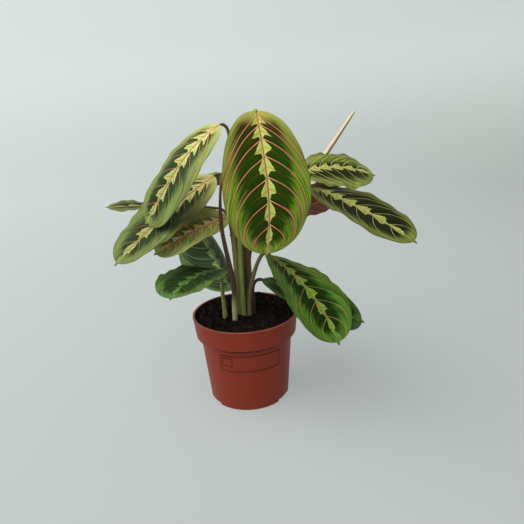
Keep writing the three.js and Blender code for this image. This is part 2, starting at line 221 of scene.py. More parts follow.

# %% [markdown]
# The stage is one pale sheet that turns up into a low wall all round, so that no horizon shows. A
# flat plane would do for the floor alone. The sheet is satin acrylic with a painted glow, an
# emission with no lamp behind it, which keeps the floor and the far wall equally bright.

# %% Stage
STAGE_INNER = 400  # mm, radius of a first ring, which keeps the floor's faces small round the pot
STAGE_FLAT = 1700  # mm, radius of the flat part
STAGE_BEND = 700  # mm, radius of the bend up to the wall
STAGE_WALL = 1250  # mm, height of the wall's top
STAGE_SIDES = 96
STAGE_STEPS = 16  # rings on the bend
# Painted glow of the sheet, with no lamp behind it, at the far left and the far right: floor, wall.
STAGE_PAINTED_GLOW = ((0.66, 0.18), (0.79, 0.46))
GLOW_REACH = 1.3  # m to the left and right, over which it changes
GLOW_HEIGHTS = (0.02, 0.6)  # m, where the floor's light ends and where the wall's begins


def make_stage():
    """A pale disc that bends up into a round wall."""
    bend = np.linspace(0, math.pi / 2, STAGE_STEPS + 1)
    radius = np.concatenate([[STAGE_INNER, STAGE_FLAT], STAGE_FLAT + STAGE_BEND * np.sin(bend[1:])])
    height = np.concatenate([[0, 0], STAGE_BEND * (1 - np.cos(bend[1:]))])
    radius = np.append(radius, radius[-1])
    height = np.append(height, STAGE_WALL)
    points = [(0, 0, 0)]
    for r, z in zip(radius, height):
        points += level_ring(r, z, around(STAGE_SIDES))
    faces = [(0, 1 + k, 1 + (k + 1) % STAGE_SIDES) for k in range(STAGE_SIDES)]
    for low in range(1, len(points) - STAGE_SIDES, STAGE_SIDES):
        for k in range(STAGE_SIDES):
            a, b = low + k, low + (k + 1) % STAGE_SIDES
            faces.append((a, a + STAGE_SIDES, b + STAGE_SIDES, b))
    return mesh_object("stage", points, faces)


def stage_finish():
    """Satin acrylic sheet: faintly cloudy, with a painted glow that is brighter at the left."""
    material, put = start_material("satin_acrylic_sheet")
    place = put(PLACE).outputs["Object"]
    cloud = put(NOISE, {"Vector": place, "Scale": per(670), "Detail": 1.0})
    colour = put(BLEND, (cloud, "#767C7C", "#7A8080"))
    spot = put(SEPARATE, (place,)).outputs
    floor, wall = (put(RANGE, (spot["X"], -GLOW_REACH, GLOW_REACH, left, right))
                   for left, right in STAGE_PAINTED_GLOW)
    up = put(SMOOTH, (spot["Z"], *GLOW_HEIGHTS))
    # Painted light: the sheet glows by its own emission, more at the left.
    painted_glow = put(MIX, (up, floor, wall))
    return end_material(material, {"Base Color": colour, "Emission Strength": painted_glow,
                                   "Roughness": 0.8, "Specular IOR Level": 0.1,
                                   "Emission Color": "#DDE4E3"})


stage = make_stage()
stage.data.materials.append(stage_finish())
print("stage:", len(stage.data.polygons), "faces")

# %% [markdown]
# The photograph has soft daylight that comes from the front left and from above. Several lamps
# could stand for it. One sun with a very wide angle needs no placing and gives the same soft
# shadows, and a faint sky fills them.

# %% Lights
SUN_ROUND = math.radians(-60)  # from the front, to the left
SUN_UP = math.radians(37)
SUN_WIDTH = math.radians(105)
SUN_STRENGTH = 6.1
SKY_STRENGTH = 0.16

sun_data = bpy.data.lights.new("wide_soft_light", "SUN")
sun_data.energy = SUN_STRENGTH
sun_data.angle = SUN_WIDTH
sun_data.color = linear("#FFFBF2")[:3]
sun = bpy.data.objects.new("wide_soft_light", sun_data)
aim = Matrix.Rotation(SUN_ROUND, 4, "Z") @ Matrix.Rotation(math.pi / 2 - SUN_UP, 4, "X")
sun.matrix_world = Matrix.Translation((0, 0, 2)) @ aim
bpy.context.scene.collection.objects.link(sun)
world = bpy.data.worlds.new("sky")
world.use_nodes = True
sky = world.node_tree.nodes["Background"].inputs
sky["Color"].default_value = linear("#DDE4E8")
sky["Strength"].default_value = SKY_STRENGTH
bpy.context.scene.world = world
bpy.context.scene.view_settings.view_transform = "Standard"
print("light comes down from", [round(v, 2) for v in sun.matrix_world.to_3x3().col[2]])

# %% [markdown]
# A leaf blade follows one rule with a handful of numbers. Its midrib starts at the stem, leaves in
# a heading and a pitch, droops along its length and may bend sideways. Each half folds up or down
# from the midrib and curls towards its edge. The numbers were fitted leaf by leaf against the
# photograph, by base, tip, midrib and edges. They are the ones that the solid blades are made with,
# so that a fine blade lies where the solid one does. `stem` are points that the stem passes on its
# way up.

# %% Leaf sizes and places, in millimetres and degrees
LEAVES = {
    "front": dict(
        base=(25, -45, 321), heading=-94, pitch=-51, droop=-63, length=145, width=86, roll=-10,
        twist=-4, bend=(9, -24), fold=(3, 12), curl=(-25, -9), hook=3, roundness=0.42,
        stem=((-1, -9, 120), (-1, -9, 205), (11, -15, 280), (20, -33, 314))),
    "upper_left": dict(
        base=(-11, -20, 309.5), heading=214, pitch=-29, droop=-76, length=133, width=61, roll=-43,
        twist=15, bend=(-8, -46), fold=(21, -10), curl=(4, -48), hook=3.5, roundness=0.56,
        stem=((-5.5, -2, 115), (-7, -4, 185), (-4, -11, 260), (-2.5, -13, 303))),
    "mid_left": dict(
        base=(-24.5, 22, 254), heading=210, pitch=-20, droop=-16, length=146, width=72, roll=-27,
        twist=13, bend=(7, -1), fold=(-6, 11), curl=(27, -27), hook=5,
        stem=((-11, -16, 112), (-9, -16, 142), (-14, -21, 175), (-18, -26, 208), (-18, -2, 240),
              (-15, 20, 256))),
    "inner_left": dict(
        base=(-12, 8, 210), heading=198, pitch=6, droop=-31, length=91, width=61, roll=-45,
        twist=-4, bend=(16, -15), fold=(19, 3), curl=(42, -20), hook=6, roundness=0.56,
        stem=((-4.5, 6, 112), (-4, 8, 165), (-3, 13, 207))),
    "far_left": dict(
        base=(-57.5, 48, 217), heading=191, pitch=8, droop=-5, length=95, width=54, roll=5,
        twist=-14, bend=(3, 3), fold=(3, 1), curl=(2, -3), hook=24,
        stem=((-7.5, 14, 112), (-8, 16, 180), (-14, 40, 212))),
    "back_left": dict(
        base=(8, 27, 236), heading=138, pitch=8, droop=-14, length=92, width=58, fold=(32, 28),
        curl=(-10, -10), hook=6, stem=((-1, 14.5, 115), (2, 17, 170), (13, 21, 224))),
    "shade_left": dict(
        base=(-12.5, 0, 128), heading=95, pitch=74, droop=-8, length=92, width=74, bend=(24, -5),
        fold=(0, -72), hook=5, stem=((-11, -8.5, 104), (-12.5, -6, 116))),
    "low_left": dict(
        base=(-20, -10, 156), heading=227, pitch=15, droop=-29, length=96, width=64, roll=1,
        twist=-7, bend=(5, 26), fold=(1, 0), curl=(10, 10), hook=4, roundness=0.56,
        stem=((-22, -10, 110), (-24, -9, 140), (-22, -5, 153))),
    "upper_right": dict(
        base=(60, -5, 255), heading=13, pitch=11, droop=-37, length=100, width=61, roll=14,
        twist=10, bend=(6, -5), fold=(0, -10), curl=(11, -16), hook=14,
        stem=((3.5, 8, 115), (3, 7, 190), (18, 0, 244))),
    "mid_right": dict(
        base=(78, -8, 242), heading=-32, pitch=-9, droop=-16, length=129, width=65, roll=15,
        twist=8, bend=(-12, 3), fold=(-4, 4), curl=(-6, 21), hook=16,
        stem=((1.5, 0.5, 106), (7.5, 1, 135), (6, 1, 178), (30, 4, 224))),
    "inner_right": dict(
        base=(38, 22, 206), heading=14, pitch=14, droop=-10, length=88, width=60, roll=-52, hook=8,
        stem=((7, 15, 112), (6.5, 14, 165), (24, 19, 202))),
    "low_right": dict(
        base=(31, -20, 173), heading=-44, pitch=-18, droop=-31, length=125, width=71, roll=-8,
        twist=39, bend=(-4, -9), fold=(-6, 7), curl=(1, 21), hook=6,
        stem=((5.5, -9.5, 108), (6.5, -10, 127), (14, -14, 155), (22, -14, 172))),
    "under_right": dict(
        base=(22, -2, 139), heading=-18, pitch=-10, droop=-34, length=125, width=64, roll=6,
        twist=19, bend=(0, 23), fold=(-2, -1), curl=(-8, 17), hook=5,
        stem=((10, -3.5, 108), (9.5, -4.5, 125), (12, -3, 136))),
    "back": dict(
        base=(5, 40, 236), heading=74, pitch=20, droop=-60, length=110, width=62, hook=12,
        stem=((-6, 22, 115), (-5, 25, 185))),
    "back_right": dict(
        base=(16, 34, 188), heading=66, pitch=8, droop=-45, length=104, width=60, roll=5, hook=12,
        stem=((9.5, 23, 112), (7, 21.5, 150))),
    "low_back": dict(
        base=(12, 46, 166), heading=92, pitch=10, droop=-45, length=98, width=56, hook=8,
        stem=((2, 31, 112), (3, 31, 150))),
}
# What a leaf gets where it says nothing else.
STRAIGHT = dict(roll=0, twist=0, bend=(0, 0), fold=(8, 8), curl=(0, 0))
for number, (name, leaf) in enumerate(LEAVES.items()):
    waves = dict(waves=2 + 0.5 * (number % 3), wave_phase=(0.37 * number) % 1)
    LEAVES[name] = STRAIGHT | leaf | waves | dict(name=name, number=number)
print("leaves:", len(LEAVES))

# %% [markdown]
# A leaf changes colour with age. It opens pale, with cream lobes and pink veins, turns a full green
# with brick-red veins in its prime, and ends deep green, with narrow lobes and veins that hardly
# show. Leaves that grow in strong light go olive. Each age below has its colours and the sizes of
# its marks.

# %% Colours and marks of each age
TINTS = ("outer", "lobes", "blotch", "beside", "line", "brick")
AGES = {
    "opening": dict(tints="#5E7E3C #B0B86C #10260A #342014 #A07458 #6A3428",
                    lobe_size=1.12, blotch_reach=(0.55, 0.42), vein_width=0.5, rust=0.3),
    "prime": dict(tints="#5C8E06 #BCC266 #0F2602 #321606 #B48460 #74301A",
                  lobe_size=0.72, blotch_reach=(0.86, 0.48), vein_width=0.85, rust=0.8),
    "shining": dict(tints="#5C9A3C #84A84C #22381A #3A2E22 #8A5440 #6A3428",
                    lobe_size=0.95, blotch_reach=(0.42, 0.3), vein_width=0.75, rust=0.3),
    "olive": dict(tints="#5C6E28 #A6AE56 #080E02 #121004 #B8AC80 #403014",
                  lobe_size=0.98, blotch_reach=(0.66, 0.5), vein_width=0.5, rust=0.2),
    "deep": dict(tints="#3C6C1E #6E9436 #081402 #161204 #927650 #4C2C12",
                 lobe_size=0.8, blotch_reach=(0.5, 0.4), vein_width=0.5, rust=0.25),
    "old": dict(tints="#466430 #527438 #10200A #1A240E #3C5024 #223212",
                lobe_size=0.85, blotch_reach=(0.75, 0.6), vein_width=0.6, rust=0.2),
    "shaded": dict(tints="#4C5E3C #5A7442 #1C2818 #20261A #5C6A4C #1C2818",
                   lobe_size=0.7, blotch_reach=(0.85, 0.75), vein_width=0.6, rust=0.3),
}
AGE_OF = dict(front="prime", upper_left="opening", mid_left="opening", inner_left="shining",
              far_left="opening", back_left="prime", shade_left="shaded", low_left="old",
              upper_right="olive", mid_right="olive", inner_right="prime", low_right="deep",
              under_right="old", back="prime", back_right="deep", low_back="old")
# Painted light and shade: how much lighter or darker one leaf is painted than its age, for the
# light or shade that falls on it, at its stem and from its middle on.
PAINTED_LIGHT_AND_SHADE = dict(front=(1.28, 1.24), upper_left=(1.95, 1.07), mid_left=(2.6, 0.88),
               inner_left=(3.6, 4.6), far_left=(0.9, 0.9), shade_left=(5.6, 5.6),
               low_left=(1.4, 1.6), under_right=(1.3, 1.3), upper_right=(1.3, 1.3),
               mid_right=(0.75, 0.93), low_right=(1.15, 1.15))
# How much less far the blotches reach in the left and the right half of a leaf.
FADED = dict(front=(0.12, 0), mid_right=(-0.22, -0.05), upper_right=(0.25, 0),
             inner_left=(0.3, 0.05))
LIGHTEST = (0.85, 0.85, 0.85, 1)  # no leaf throws back more of the light than this
print("ages:", ", ".join(AGES))

# %% [markdown]
# A blade could be sculpted, but sixteen leaves would be sixteen pieces of handwork that no one
# could correct by a degree. So rules turn the numbers of a leaf into places. The first one gives
# the outline: an oval that is fuller towards the tip and ends in a small nib.

# %% Outline of a blade
BLADE_FULLNESS = 1.14  # over 1: the widest place lies past the middle
BASE_ROUNDNESS = 0.52  # 0.5 is an ellipse's end, less is blunter, more is more pointed
TIP_ROUNDNESS = 0.54
STALK_HALF_WIDTH = 1.4  # mm, where the blade meets its stem
NIB_HALF_WIDTH = 1.6  # mm, of the small pointed tip
NIB_SHARE = 0.028  # share of the length that the tip takes
NIB_END = 0.4  # mm, half the width of the tip's end


def half_width(leaf, s):
    """Half the blade's width in mm at shares s of its length."""
    q = np.clip(s / (1 - NIB_SHARE), 0, 1) ** BLADE_FULLNESS
    base = leaf.get("roundness", BASE_ROUNDNESS)
    roundness = base + (TIP_ROUNDNESS - base) * s
    oval = np.maximum(4 * q * (1 - q), 0) ** roundness * leaf["width"] / 2
    nib = np.minimum(np.clip((1 - s) / NIB_SHARE, 0, 1) * NIB_HALF_WIDTH + NIB_END, NIB_HALF_WIDTH)
    return np.maximum(oval, np.where(s > 0.5, nib, STALK_HALF_WIDTH))


front = LEAVES["front"]
print("half width in mm on the way:", half_width(front, np.linspace(0, 1, 6)).round(1).tolist())

# %% [markdown]
# A leaf hangs from its stem in an arc, turns about its midrib and may bend to one side. The midrib
# could be a drawn curve, but then the blade's twist would be hard to hold. So the directions are
# worked out first, and the midrib is found by stepping along them.

# %% Midrib of a blade
MIDRIB_STEPS = 240


def blade_frame(leaf, s):
    """Directions at shares s of the midrib: along it, to its left, and out of the upper face."""
    s = np.asarray(s, dtype=float)[..., None]
    pitch = np.radians(leaf["pitch"] + leaf["droop"] * s)
    roll = np.radians(leaf["roll"] + leaf["twist"] * s)
    bend = np.radians(leaf["bend"][0] + leaf["bend"][1] * s**2)
    heading = math.radians(leaf["heading"])
    level = np.array([math.cos(heading), math.sin(heading), 0])
    along = level * np.cos(pitch) + np.array([0, 0, 1]) * np.sin(pitch)
    side = np.array([-math.sin(heading), math.cos(heading), 0])
    up = np.cross(along, side)
    left = side * np.cos(roll) + up * np.sin(roll)
    out = up * np.cos(roll) - side * np.sin(roll)
    forward = along * np.cos(bend) + left * np.sin(bend)
    return forward, left * np.cos(bend) - along * np.sin(bend), out


def midrib_points(leaf, s):
    """Points of the midrib in mm at shares s, found by stepping along its direction."""
    middles = (np.arange(MIDRIB_STEPS) + 0.5) / MIDRIB_STEPS
    walk = np.cumsum(blade_frame(leaf, middles)[0] * leaf["length"] / MIDRIB_STEPS, axis=0)
    path = np.vstack([np.zeros(3), walk]) + np.array(leaf["base"])
    shares = np.arange(MIDRIB_STEPS + 1) / MIDRIB_STEPS
    return np.stack([np.interp(s, shares, path[:, axis]) for axis in range(3)], axis=-1)


print("front blade ends at", midrib_points(front, np.array([1.0])).round(1).tolist())

# %% [markdown]
# From the midrib, each half of the blade rises at its own angle and curls on towards its edge,
# where it is waved and finely ruffled. An arc of the right length is laid to either side, so that a
# curled blade doesn't get wider or narrower than a flat one.

# %% Middle surface of a blade
WAVE_HEIGHT = 1.5  # mm, of the waved edge
RUFFLE_HEIGHT = 0.8  # mm, of the small ruffles on it
RUFFLES = 2.7  # ruffles to one wave
WAVE_SHIFT = 0.13  # share of a wave that each half's waves are moved by, one forwards, one back
RUFFLE_SHIFT = -0.31


def blade_grid(leaf, s, t):
    """Middle surface in mm and its outward direction, for rows s and columns t from -1 to 1."""
    _, left, out = blade_frame(leaf, s)
    centre = midrib_points(leaf, s)
    side = np.where(t < 0, -1.0, 1.0)
    half = np.where(t < 0, 1, 0)
    reach = np.abs(t)[None, :]
    fold = np.radians(np.array(leaf["fold"], dtype=float))[half][None, :]
    swell = np.sqrt(np.sin(math.pi * np.clip(s, 0, 1)))[:, None]
    curl = np.radians(np.array(leaf["curl"], dtype=float))[half][None, :] * swell
    curl = np.where(np.abs(curl) < 1e-4, 1e-4, curl)
    angle = fold + curl * reach
    width = half_width(leaf, s)[:, None]
    across = width * (np.sin(angle) - np.sin(fold)) / curl
    rise = width * (np.cos(fold) - np.cos(angle)) / curl
    wave = 0
    for height, count, shift, power in ((WAVE_HEIGHT, 1, WAVE_SHIFT, 2.5),
                                        (RUFFLE_HEIGHT, RUFFLES, RUFFLE_SHIFT, 4)):
        turns = count * leaf["waves"] * s[:, None] + shift * side[None, :] + leaf["wave_phase"]
        swing = height * np.sin(2 * math.pi * turns)
        wave = wave + swing * reach**power * np.sin(math.pi * s[:, None])
    points = centre[:, None, :] + left[:, None, :] * (side * across)[..., None]
    points = points + out[:, None, :] * (rise + wave)[..., None]
    lean = side[None, :] * angle
    outward = out[:, None, :] * np.cos(lean)[..., None] - left[:, None, :] * np.sin(lean)[..., None]
    return points, outward


corner = blade_grid(front, np.array([0.5]), np.array([-1.0, 1.0]))[0].round(1)
print("its edges halfway along:", corner.tolist())

# %% [markdown]
# A prayer plant's side veins leave the midrib at a slant, run out in an arc and end almost parallel
# to the edge. One number tells where a point of the blade lies between them: it is whole on a vein
# and grows by one from each vein to the next. The pattern, the pleats between the veins and the
# fine stripes all follow it, so it is worked out once, here, and stored in the mesh beside the
# distances in millimetres that keep each vein equally wide on a small and a large leaf.

# %% Vein numbers
VEIN_SLANT = (0.167, 0.272)  # how far a vein reaches forward at the edge, as shares of the length
VEIN_CROWDING = 1.45  # over 1: the veins stand closer together near the stem
VEIN_COUNT = 8.0
VEIN_START = 0.01  # share of the length where the veins begin
VEIN_LEAD = 0.6  # how much of a vein's distance the first one lies ahead of that place
VEIN_STAGGER = 0.05  # the veins of the two halves don't quite meet
VEIN_RUN_IN = 14  # veins to a blade's length on the way from the stem to where the first one starts


def vein_number(s, t):
    """Whole numbers lie on the side veins."""
    reach = np.abs(t)
    start = s - VEIN_SLANT[0] * reach - VEIN_SLANT[1] * reach**4
    inside = VEIN_COUNT * np.maximum(start, VEIN_START) ** (1 / VEIN_CROWDING)
    before = np.minimum(start - VEIN_START, 0) * VEIN_RUN_IN
    return inside + before - VEIN_LEAD + VEIN_STAGGER * np.sign(t)


def vein_spacing(number, points):
    """Millimetres from one side vein to the next, measured on the blade itself."""
    down = np.linalg.norm(np.gradient(points, axis=0), axis=-1)
    over = np.linalg.norm(np.gradient(points, axis=1), axis=-1)
    slope_down = np.gradient(number, axis=0) / np.maximum(down, 1e-3)
    slope_over = np.gradient(number, axis=1) / np.maximum(over, 1e-3)
    return 1 / np.clip(np.hypot(slope_down, slope_over), 0.02, 4)


leaving = [round(((k + VEIN_LEAD) / VEIN_COUNT) ** VEIN_CROWDING, 2) for k in range(8)]
print("side veins leave the midrib at shares", leaving)

# %% [markdown]
# A blade is thinner than a millimetre. It is built as a fine grid that is folded over the edge, so
# that it has an upper and a lower sheet. The upper one swells between the side veins and sinks over
# the midrib, and the lower one carries the midrib as a keel, as a real leaf of this plant does.

# %% Blades
BLADE_ROWS = 120
BLADE_COLUMNS = 44
BLADE_THICKNESS = 0.6  # mm in the middle
BLADE_EDGE = 0.6  # share of that thickness that is left at the edge
PLEAT_HEIGHT = 0.7  # mm, how far the blade swells up between two side veins
PLEAT_SPACING = 9  # mm: where the veins stand closer, the pleats are lower
PLEAT_START = 5  # mm from the midrib, where the pleats have their height
RIB_GROOVE = (0.35, 1.3)  # mm, depth and half width of the groove over the midrib
RIB_KEEL = (0.75, 1.2)  # mm, height and half width of the midrib below the blade
BLADE_CREASE = math.radians(55)  # edges that are sharper than this stay sharp


def blade_marks(leaf, grid_s, grid_t, points):
    """What the leaf's finish reads at each point of the grid."""
    number = vein_number(grid_s, grid_t)
    reach = np.abs(grid_t)
    near, far = AGES[AGE_OF[leaf["name"]]]["blotch_reach"]
    faded = FADED.get(leaf["name"], (0, 0))
    return {
        "vein": number,
        "spacing": vein_spacing(number, points),
        "reach": reach,
        "rib": reach * half_width(leaf, grid_s[:, 0])[:, None],
        "share": grid_s,
        "blotch_edge": near + (far - near) * grid_s - np.where(grid_t > 0, *faded),
        "seed": leaf["number"] * 3.7 + np.sign(grid_t) * 0.9,
    }


def make_blade(leaf):
    """An upper and a lower sheet, joined round the edge, with the leaf's own coordinates."""
    s = 0.5 - 0.5 * np.cos(math.pi * np.arange(BLADE_ROWS + 1) / BLADE_ROWS)
    t = np.linspace(-1, 1, BLADE_COLUMNS + 1)
    points, outward = blade_grid(leaf, s, t)
    grid_s, grid_t = np.meshgrid(s, t, indexing="ij")
    marks = blade_marks(leaf, grid_s, grid_t, points)
    reach, rib = marks["reach"], marks["rib"]
    taper = np.sin(math.pi * np.clip(grid_s, 0, 1)) ** 0.5
    pleat = np.sin(math.pi * (marks["vein"] % 1)) ** 0.8
    pleat *= np.clip(marks["spacing"] / PLEAT_SPACING, 0, 1)
    pleat *= PLEAT_HEIGHT * (1 - reach**3) * np.clip(rib / PLEAT_START, 0, 1) * taper
    groove = RIB_GROOVE[0] * np.exp(-((rib / RIB_GROOVE[1]) ** 2)) * taper
    keel = RIB_KEEL[0] * np.exp(-((rib / RIB_KEEL[1]) ** 2)) * np.sqrt(1 - grid_s)
    half = BLADE_THICKNESS / 2 * (1 - (1 - BLADE_EDGE) * reach**6)
    upper = points + outward * (half + pleat - groove)[..., None]
    lower = points + outward * (pleat - half - keel)[..., None]
    rows, columns = grid_s.shape
    index = np.arange(rows * columns).reshape(rows, columns)
    corners = [index[:-1, :-1], index[1:, :-1], index[1:, 1:], index[:-1, 1:]]
    above = np.stack(corners, axis=-1).reshape(-1, 4)
    below = above[:, ::-1] + rows * columns
    rim = np.concatenate([index[:, 0], index[-1, 1:], index[-2::-1, -1], index[0, -2:0:-1]])
    after = np.roll(rim, -1)
    edge = np.stack([rim, rim + rows * columns, after + rows * columns, after], axis=-1)
    faces = np.concatenate([above, below, edge]).tolist()
    attributes = {key: np.tile(values.ravel(), 2) for key, values in marks.items()}
    attributes["upper"] = np.repeat([1.0, 0.0], rows * columns)
    age = AGES[AGE_OF[leaf["name"]]]
    attributes |= {key: age[key] for key in ("lobe_size", "vein_width", "rust")}
    # Painted light and shade: each leaf's colours are made lighter or darker for the light that
    # falls on it.
    painted_light = np.interp(attributes["share"], (0, 0.5), PAINTED_LIGHT_AND_SHADE.get(leaf["name"], (1, 1)))
    painted_light = np.stack([painted_light, painted_light, painted_light, np.ones_like(painted_light)], axis=-1)
    for key, colour in zip(TINTS, age["tints"].split()):
        attributes[key] = np.minimum(painted_light * linear(colour), LIGHTEST)
    both = np.concatenate([upper.reshape(-1, 3), lower.reshape(-1, 3)])
    piece = mesh_object("blade_" + leaf["name"], both, faces, attributes)
    piece.data.set_sharp_from_angle(angle=BLADE_CREASE)
    return piece


blades = {name: make_blade(leaf) for name, leaf in LEAVES.items()}
print("blades:", len(blades), "faces each:", len(blades["front"].data.polygons))

# %% [markdown]
# The leaf's skin is waxy and thin. From the midrib outwards its marks are: a tan midrib, lobes with
# torn ends beside it, a dark blotch between each two side veins, and a lighter green with fine
# stripes that run with the veins. Painting this by hand would be lost on the next leaf, so one node
# tree draws it from the numbers that the mesh carries. First come the textures that follow the
# veins.

# %% Leaf skin: stripes, torn places and rust
# The fine parallel veins stand about 0.4 mm apart, which is too fine to show, so the stripes that
# stand for them are drawn much wider. All sizes are for an average blade: they follow the side
# veins, and so they are smaller on a smaller leaf.
STRIPE = (1.7, 23)  # mm, width and length
TEAR = (2.7, 9.6)  # mm, width and length of the torn places at the ends of the lobes
VEIN_PITCH = 13.3  # mm from one side vein to the next
HALF_BLADE = 34.5  # mm from the midrib to the edge
ELSEWHERE = (50, 0, 0)  # far enough off for the rust not to follow the stripes


def vein_textures(put, own):
    """Fine stripes along the side veins, torn places across them, and streaks of rust."""
    across = put(TIMES, (own["vein"], VEIN_PITCH / STRIPE[0]))
    outwards = put(TIMES, (own["reach"], HALF_BLADE / STRIPE[1]))
    flat = put(COMBINE, {"X": across, "Y": outwards, "Z": own["seed"]})
    stripes = put(NOISE, {"Vector": flat, "Detail": 4.0, "Roughness": 0.65, "Scale": 1.0})
    finer = put(MAPPING, {"Vector": flat, "Scale": (STRIPE[0] / TEAR[0], STRIPE[1] / TEAR[1], 1)})
    tears = put(NOISE, {"Vector": finer, "Detail": 1.5, "Scale": 1.0})
    moved = put(MAPPING, {"Vector": flat, "Location": ELSEWHERE})
    rust = put(NOISE, {"Vector": moved, "Detail": 2.0, "Scale": 1.0})
    return stripes, tears, rust


print("stripes from one side vein to the next:", round(VEIN_PITCH / STRIPE[0]))

# %% [markdown]
# A mask says how much of a mark shows at a place, from 0 to 1. Each is a smooth step over one of
# the leaf's numbers: over the share of the way to the edge for lobes and blotches, which grow with
# the leaf, and over millimetres for the veins, which don't. The side veins are pale in the middle
# and brick red on their tip side. A picture could hold masks too, but it blurs close up and fits
# one leaf.

# %% Leaf skin: where each mark shows
# Half width of the lobes, as a share of the blade's, from one side vein (0) to the next (1).
LOBE_PROFILE = ((0.0, 0.14), (0.05, 0.085), (0.15, 0.13), (0.3, 0.2), (0.42, 0.245), (0.54, 0.26),
                (0.61, 0.2), (0.68, 0.12), (0.85, 0.065), (0.95, 0.06), (1.0, 0.14))
# How much wider or narrower the lobes are from the stem (0) to the tip (1).
LOBE_SWELL = ((0.0, 1.0), (0.06, 1.5), (0.2, 1.35), (0.4, 1.0), (0.65, 0.8), (0.85, 0.6),
              (1.0, 0.1))


def lobes_and_blotches(put, own, phase, stripes, tears):
    """Masks of the lobes, torn at their ends, of their middles, and of the blotches, which fray out
    along the stripes."""
    reach, share = own["reach"], own["share"]
    profile = put(CURVE, {"Value": phase}, points=LOBE_PROFILE)
    torn = put(TIMES, (profile, put(RANGE, (tears, 0.3, 0.7, 0.76, 1.2))))
    sized = put(TIMES, (torn, own["lobe_size"]))
    edge = put(TIMES, (sized, put(CURVE, {"Value": share}, points=LOBE_SWELL)))
    inside = put(MINUS, (edge, reach))
    lobe = put(SMOOTH, (inside, -0.008, 0.014))
    core = put(SMOOTH, (inside, 0.015, 0.06, 0, 0.3))

    fray = put(RANGE, (stripes, 0.3, 0.7, -0.28, 0.28))
    within = put(MINUS, (put(PLUS, (own["blotch_edge"], fray)), reach))
    soft = put(SMOOTH, (within, -0.08, 0.08))
    before_tip = put(TIMES, (soft, put(SMOOTH, (share, 0.93, 0.85))))
    blotch = put(TIMES, (before_tip, put(SMOOTH, (share, 0.03, 0.12))))
    return lobe, core, blotch


def side_veins(put, own, phase):
    """How many vein widths off the nearest side vein a place is, and masks of the pale line, of the
    brick red beside it, and of the thinner vein half way to the next one."""
    vein, reach, share = own["vein"], own["reach"], own["share"]
    past = put(MINUS, (vein, put(MATH, (vein,), operation="ROUND")))
    past_mm = put(TIMES, (past, own["spacing"]))
    widths = put(MATH, (past_mm, own["vein_width"]), operation="DIVIDE")  # positive on the tip side
    off = put(ABSOLUTE, (widths,))
    on_blade = put(TIMES, (put(SMOOTH, (reach, 0.96, 0.78)), put(SMOOTH, (share, 0.96, 0.88))))
    shown = put(TIMES, (on_blade, put(SMOOTH, (vein, -0.7, -0.3))))
    line = put(TIMES, (put(SMOOTH, (off, 0.56, 0.3)), shown))
    beside = put(ABSOLUTE, (put(MINUS, (widths, 0.68)),))
    brick = put(TIMES, (put(SMOOTH, (beside, 0.52, 0.16)), shown))

    half_way = put(TIMES, (put(MINUS, (phase, 0.5)), own["spacing"]))
    half_off = put(ABSOLUTE, (half_way,))
    thin = put(TIMES, (put(SMOOTH, (half_off, 0.5, 0.15)), put(SMOOTH, (reach, 0.5, 0.2, 0, 0.7))))
    return off, line, brick, thin


print("lobes reach", max(width for _, width in LOBE_PROFILE), "of the way to the edge")

# %% [markdown]
# The colours are laid over one another, from the ground up: the outer green with its stripes and
# rust, the blotches, the lobes, the veins and the midrib. The underside is maroon, with paler
# veins. All of it lies under a thin wax with a satin gloss, and the stripes are felt as a faint
# relief.

# %% Leaf skin: colours and gloss
# How much of the lobes' pale colour the outer green takes, from the stem (0) to the tip (1).
YELLOWING = ((0.0, 0.5), (0.1, 0.3), (0.3, 0.03), (0.55, 0.0), (1.0, 0.12))
MARKS = ("vein", "spacing", "reach", "rib", "share", "blotch_edge", "seed", "upper", "lobe_size",
         "vein_width", "rust")


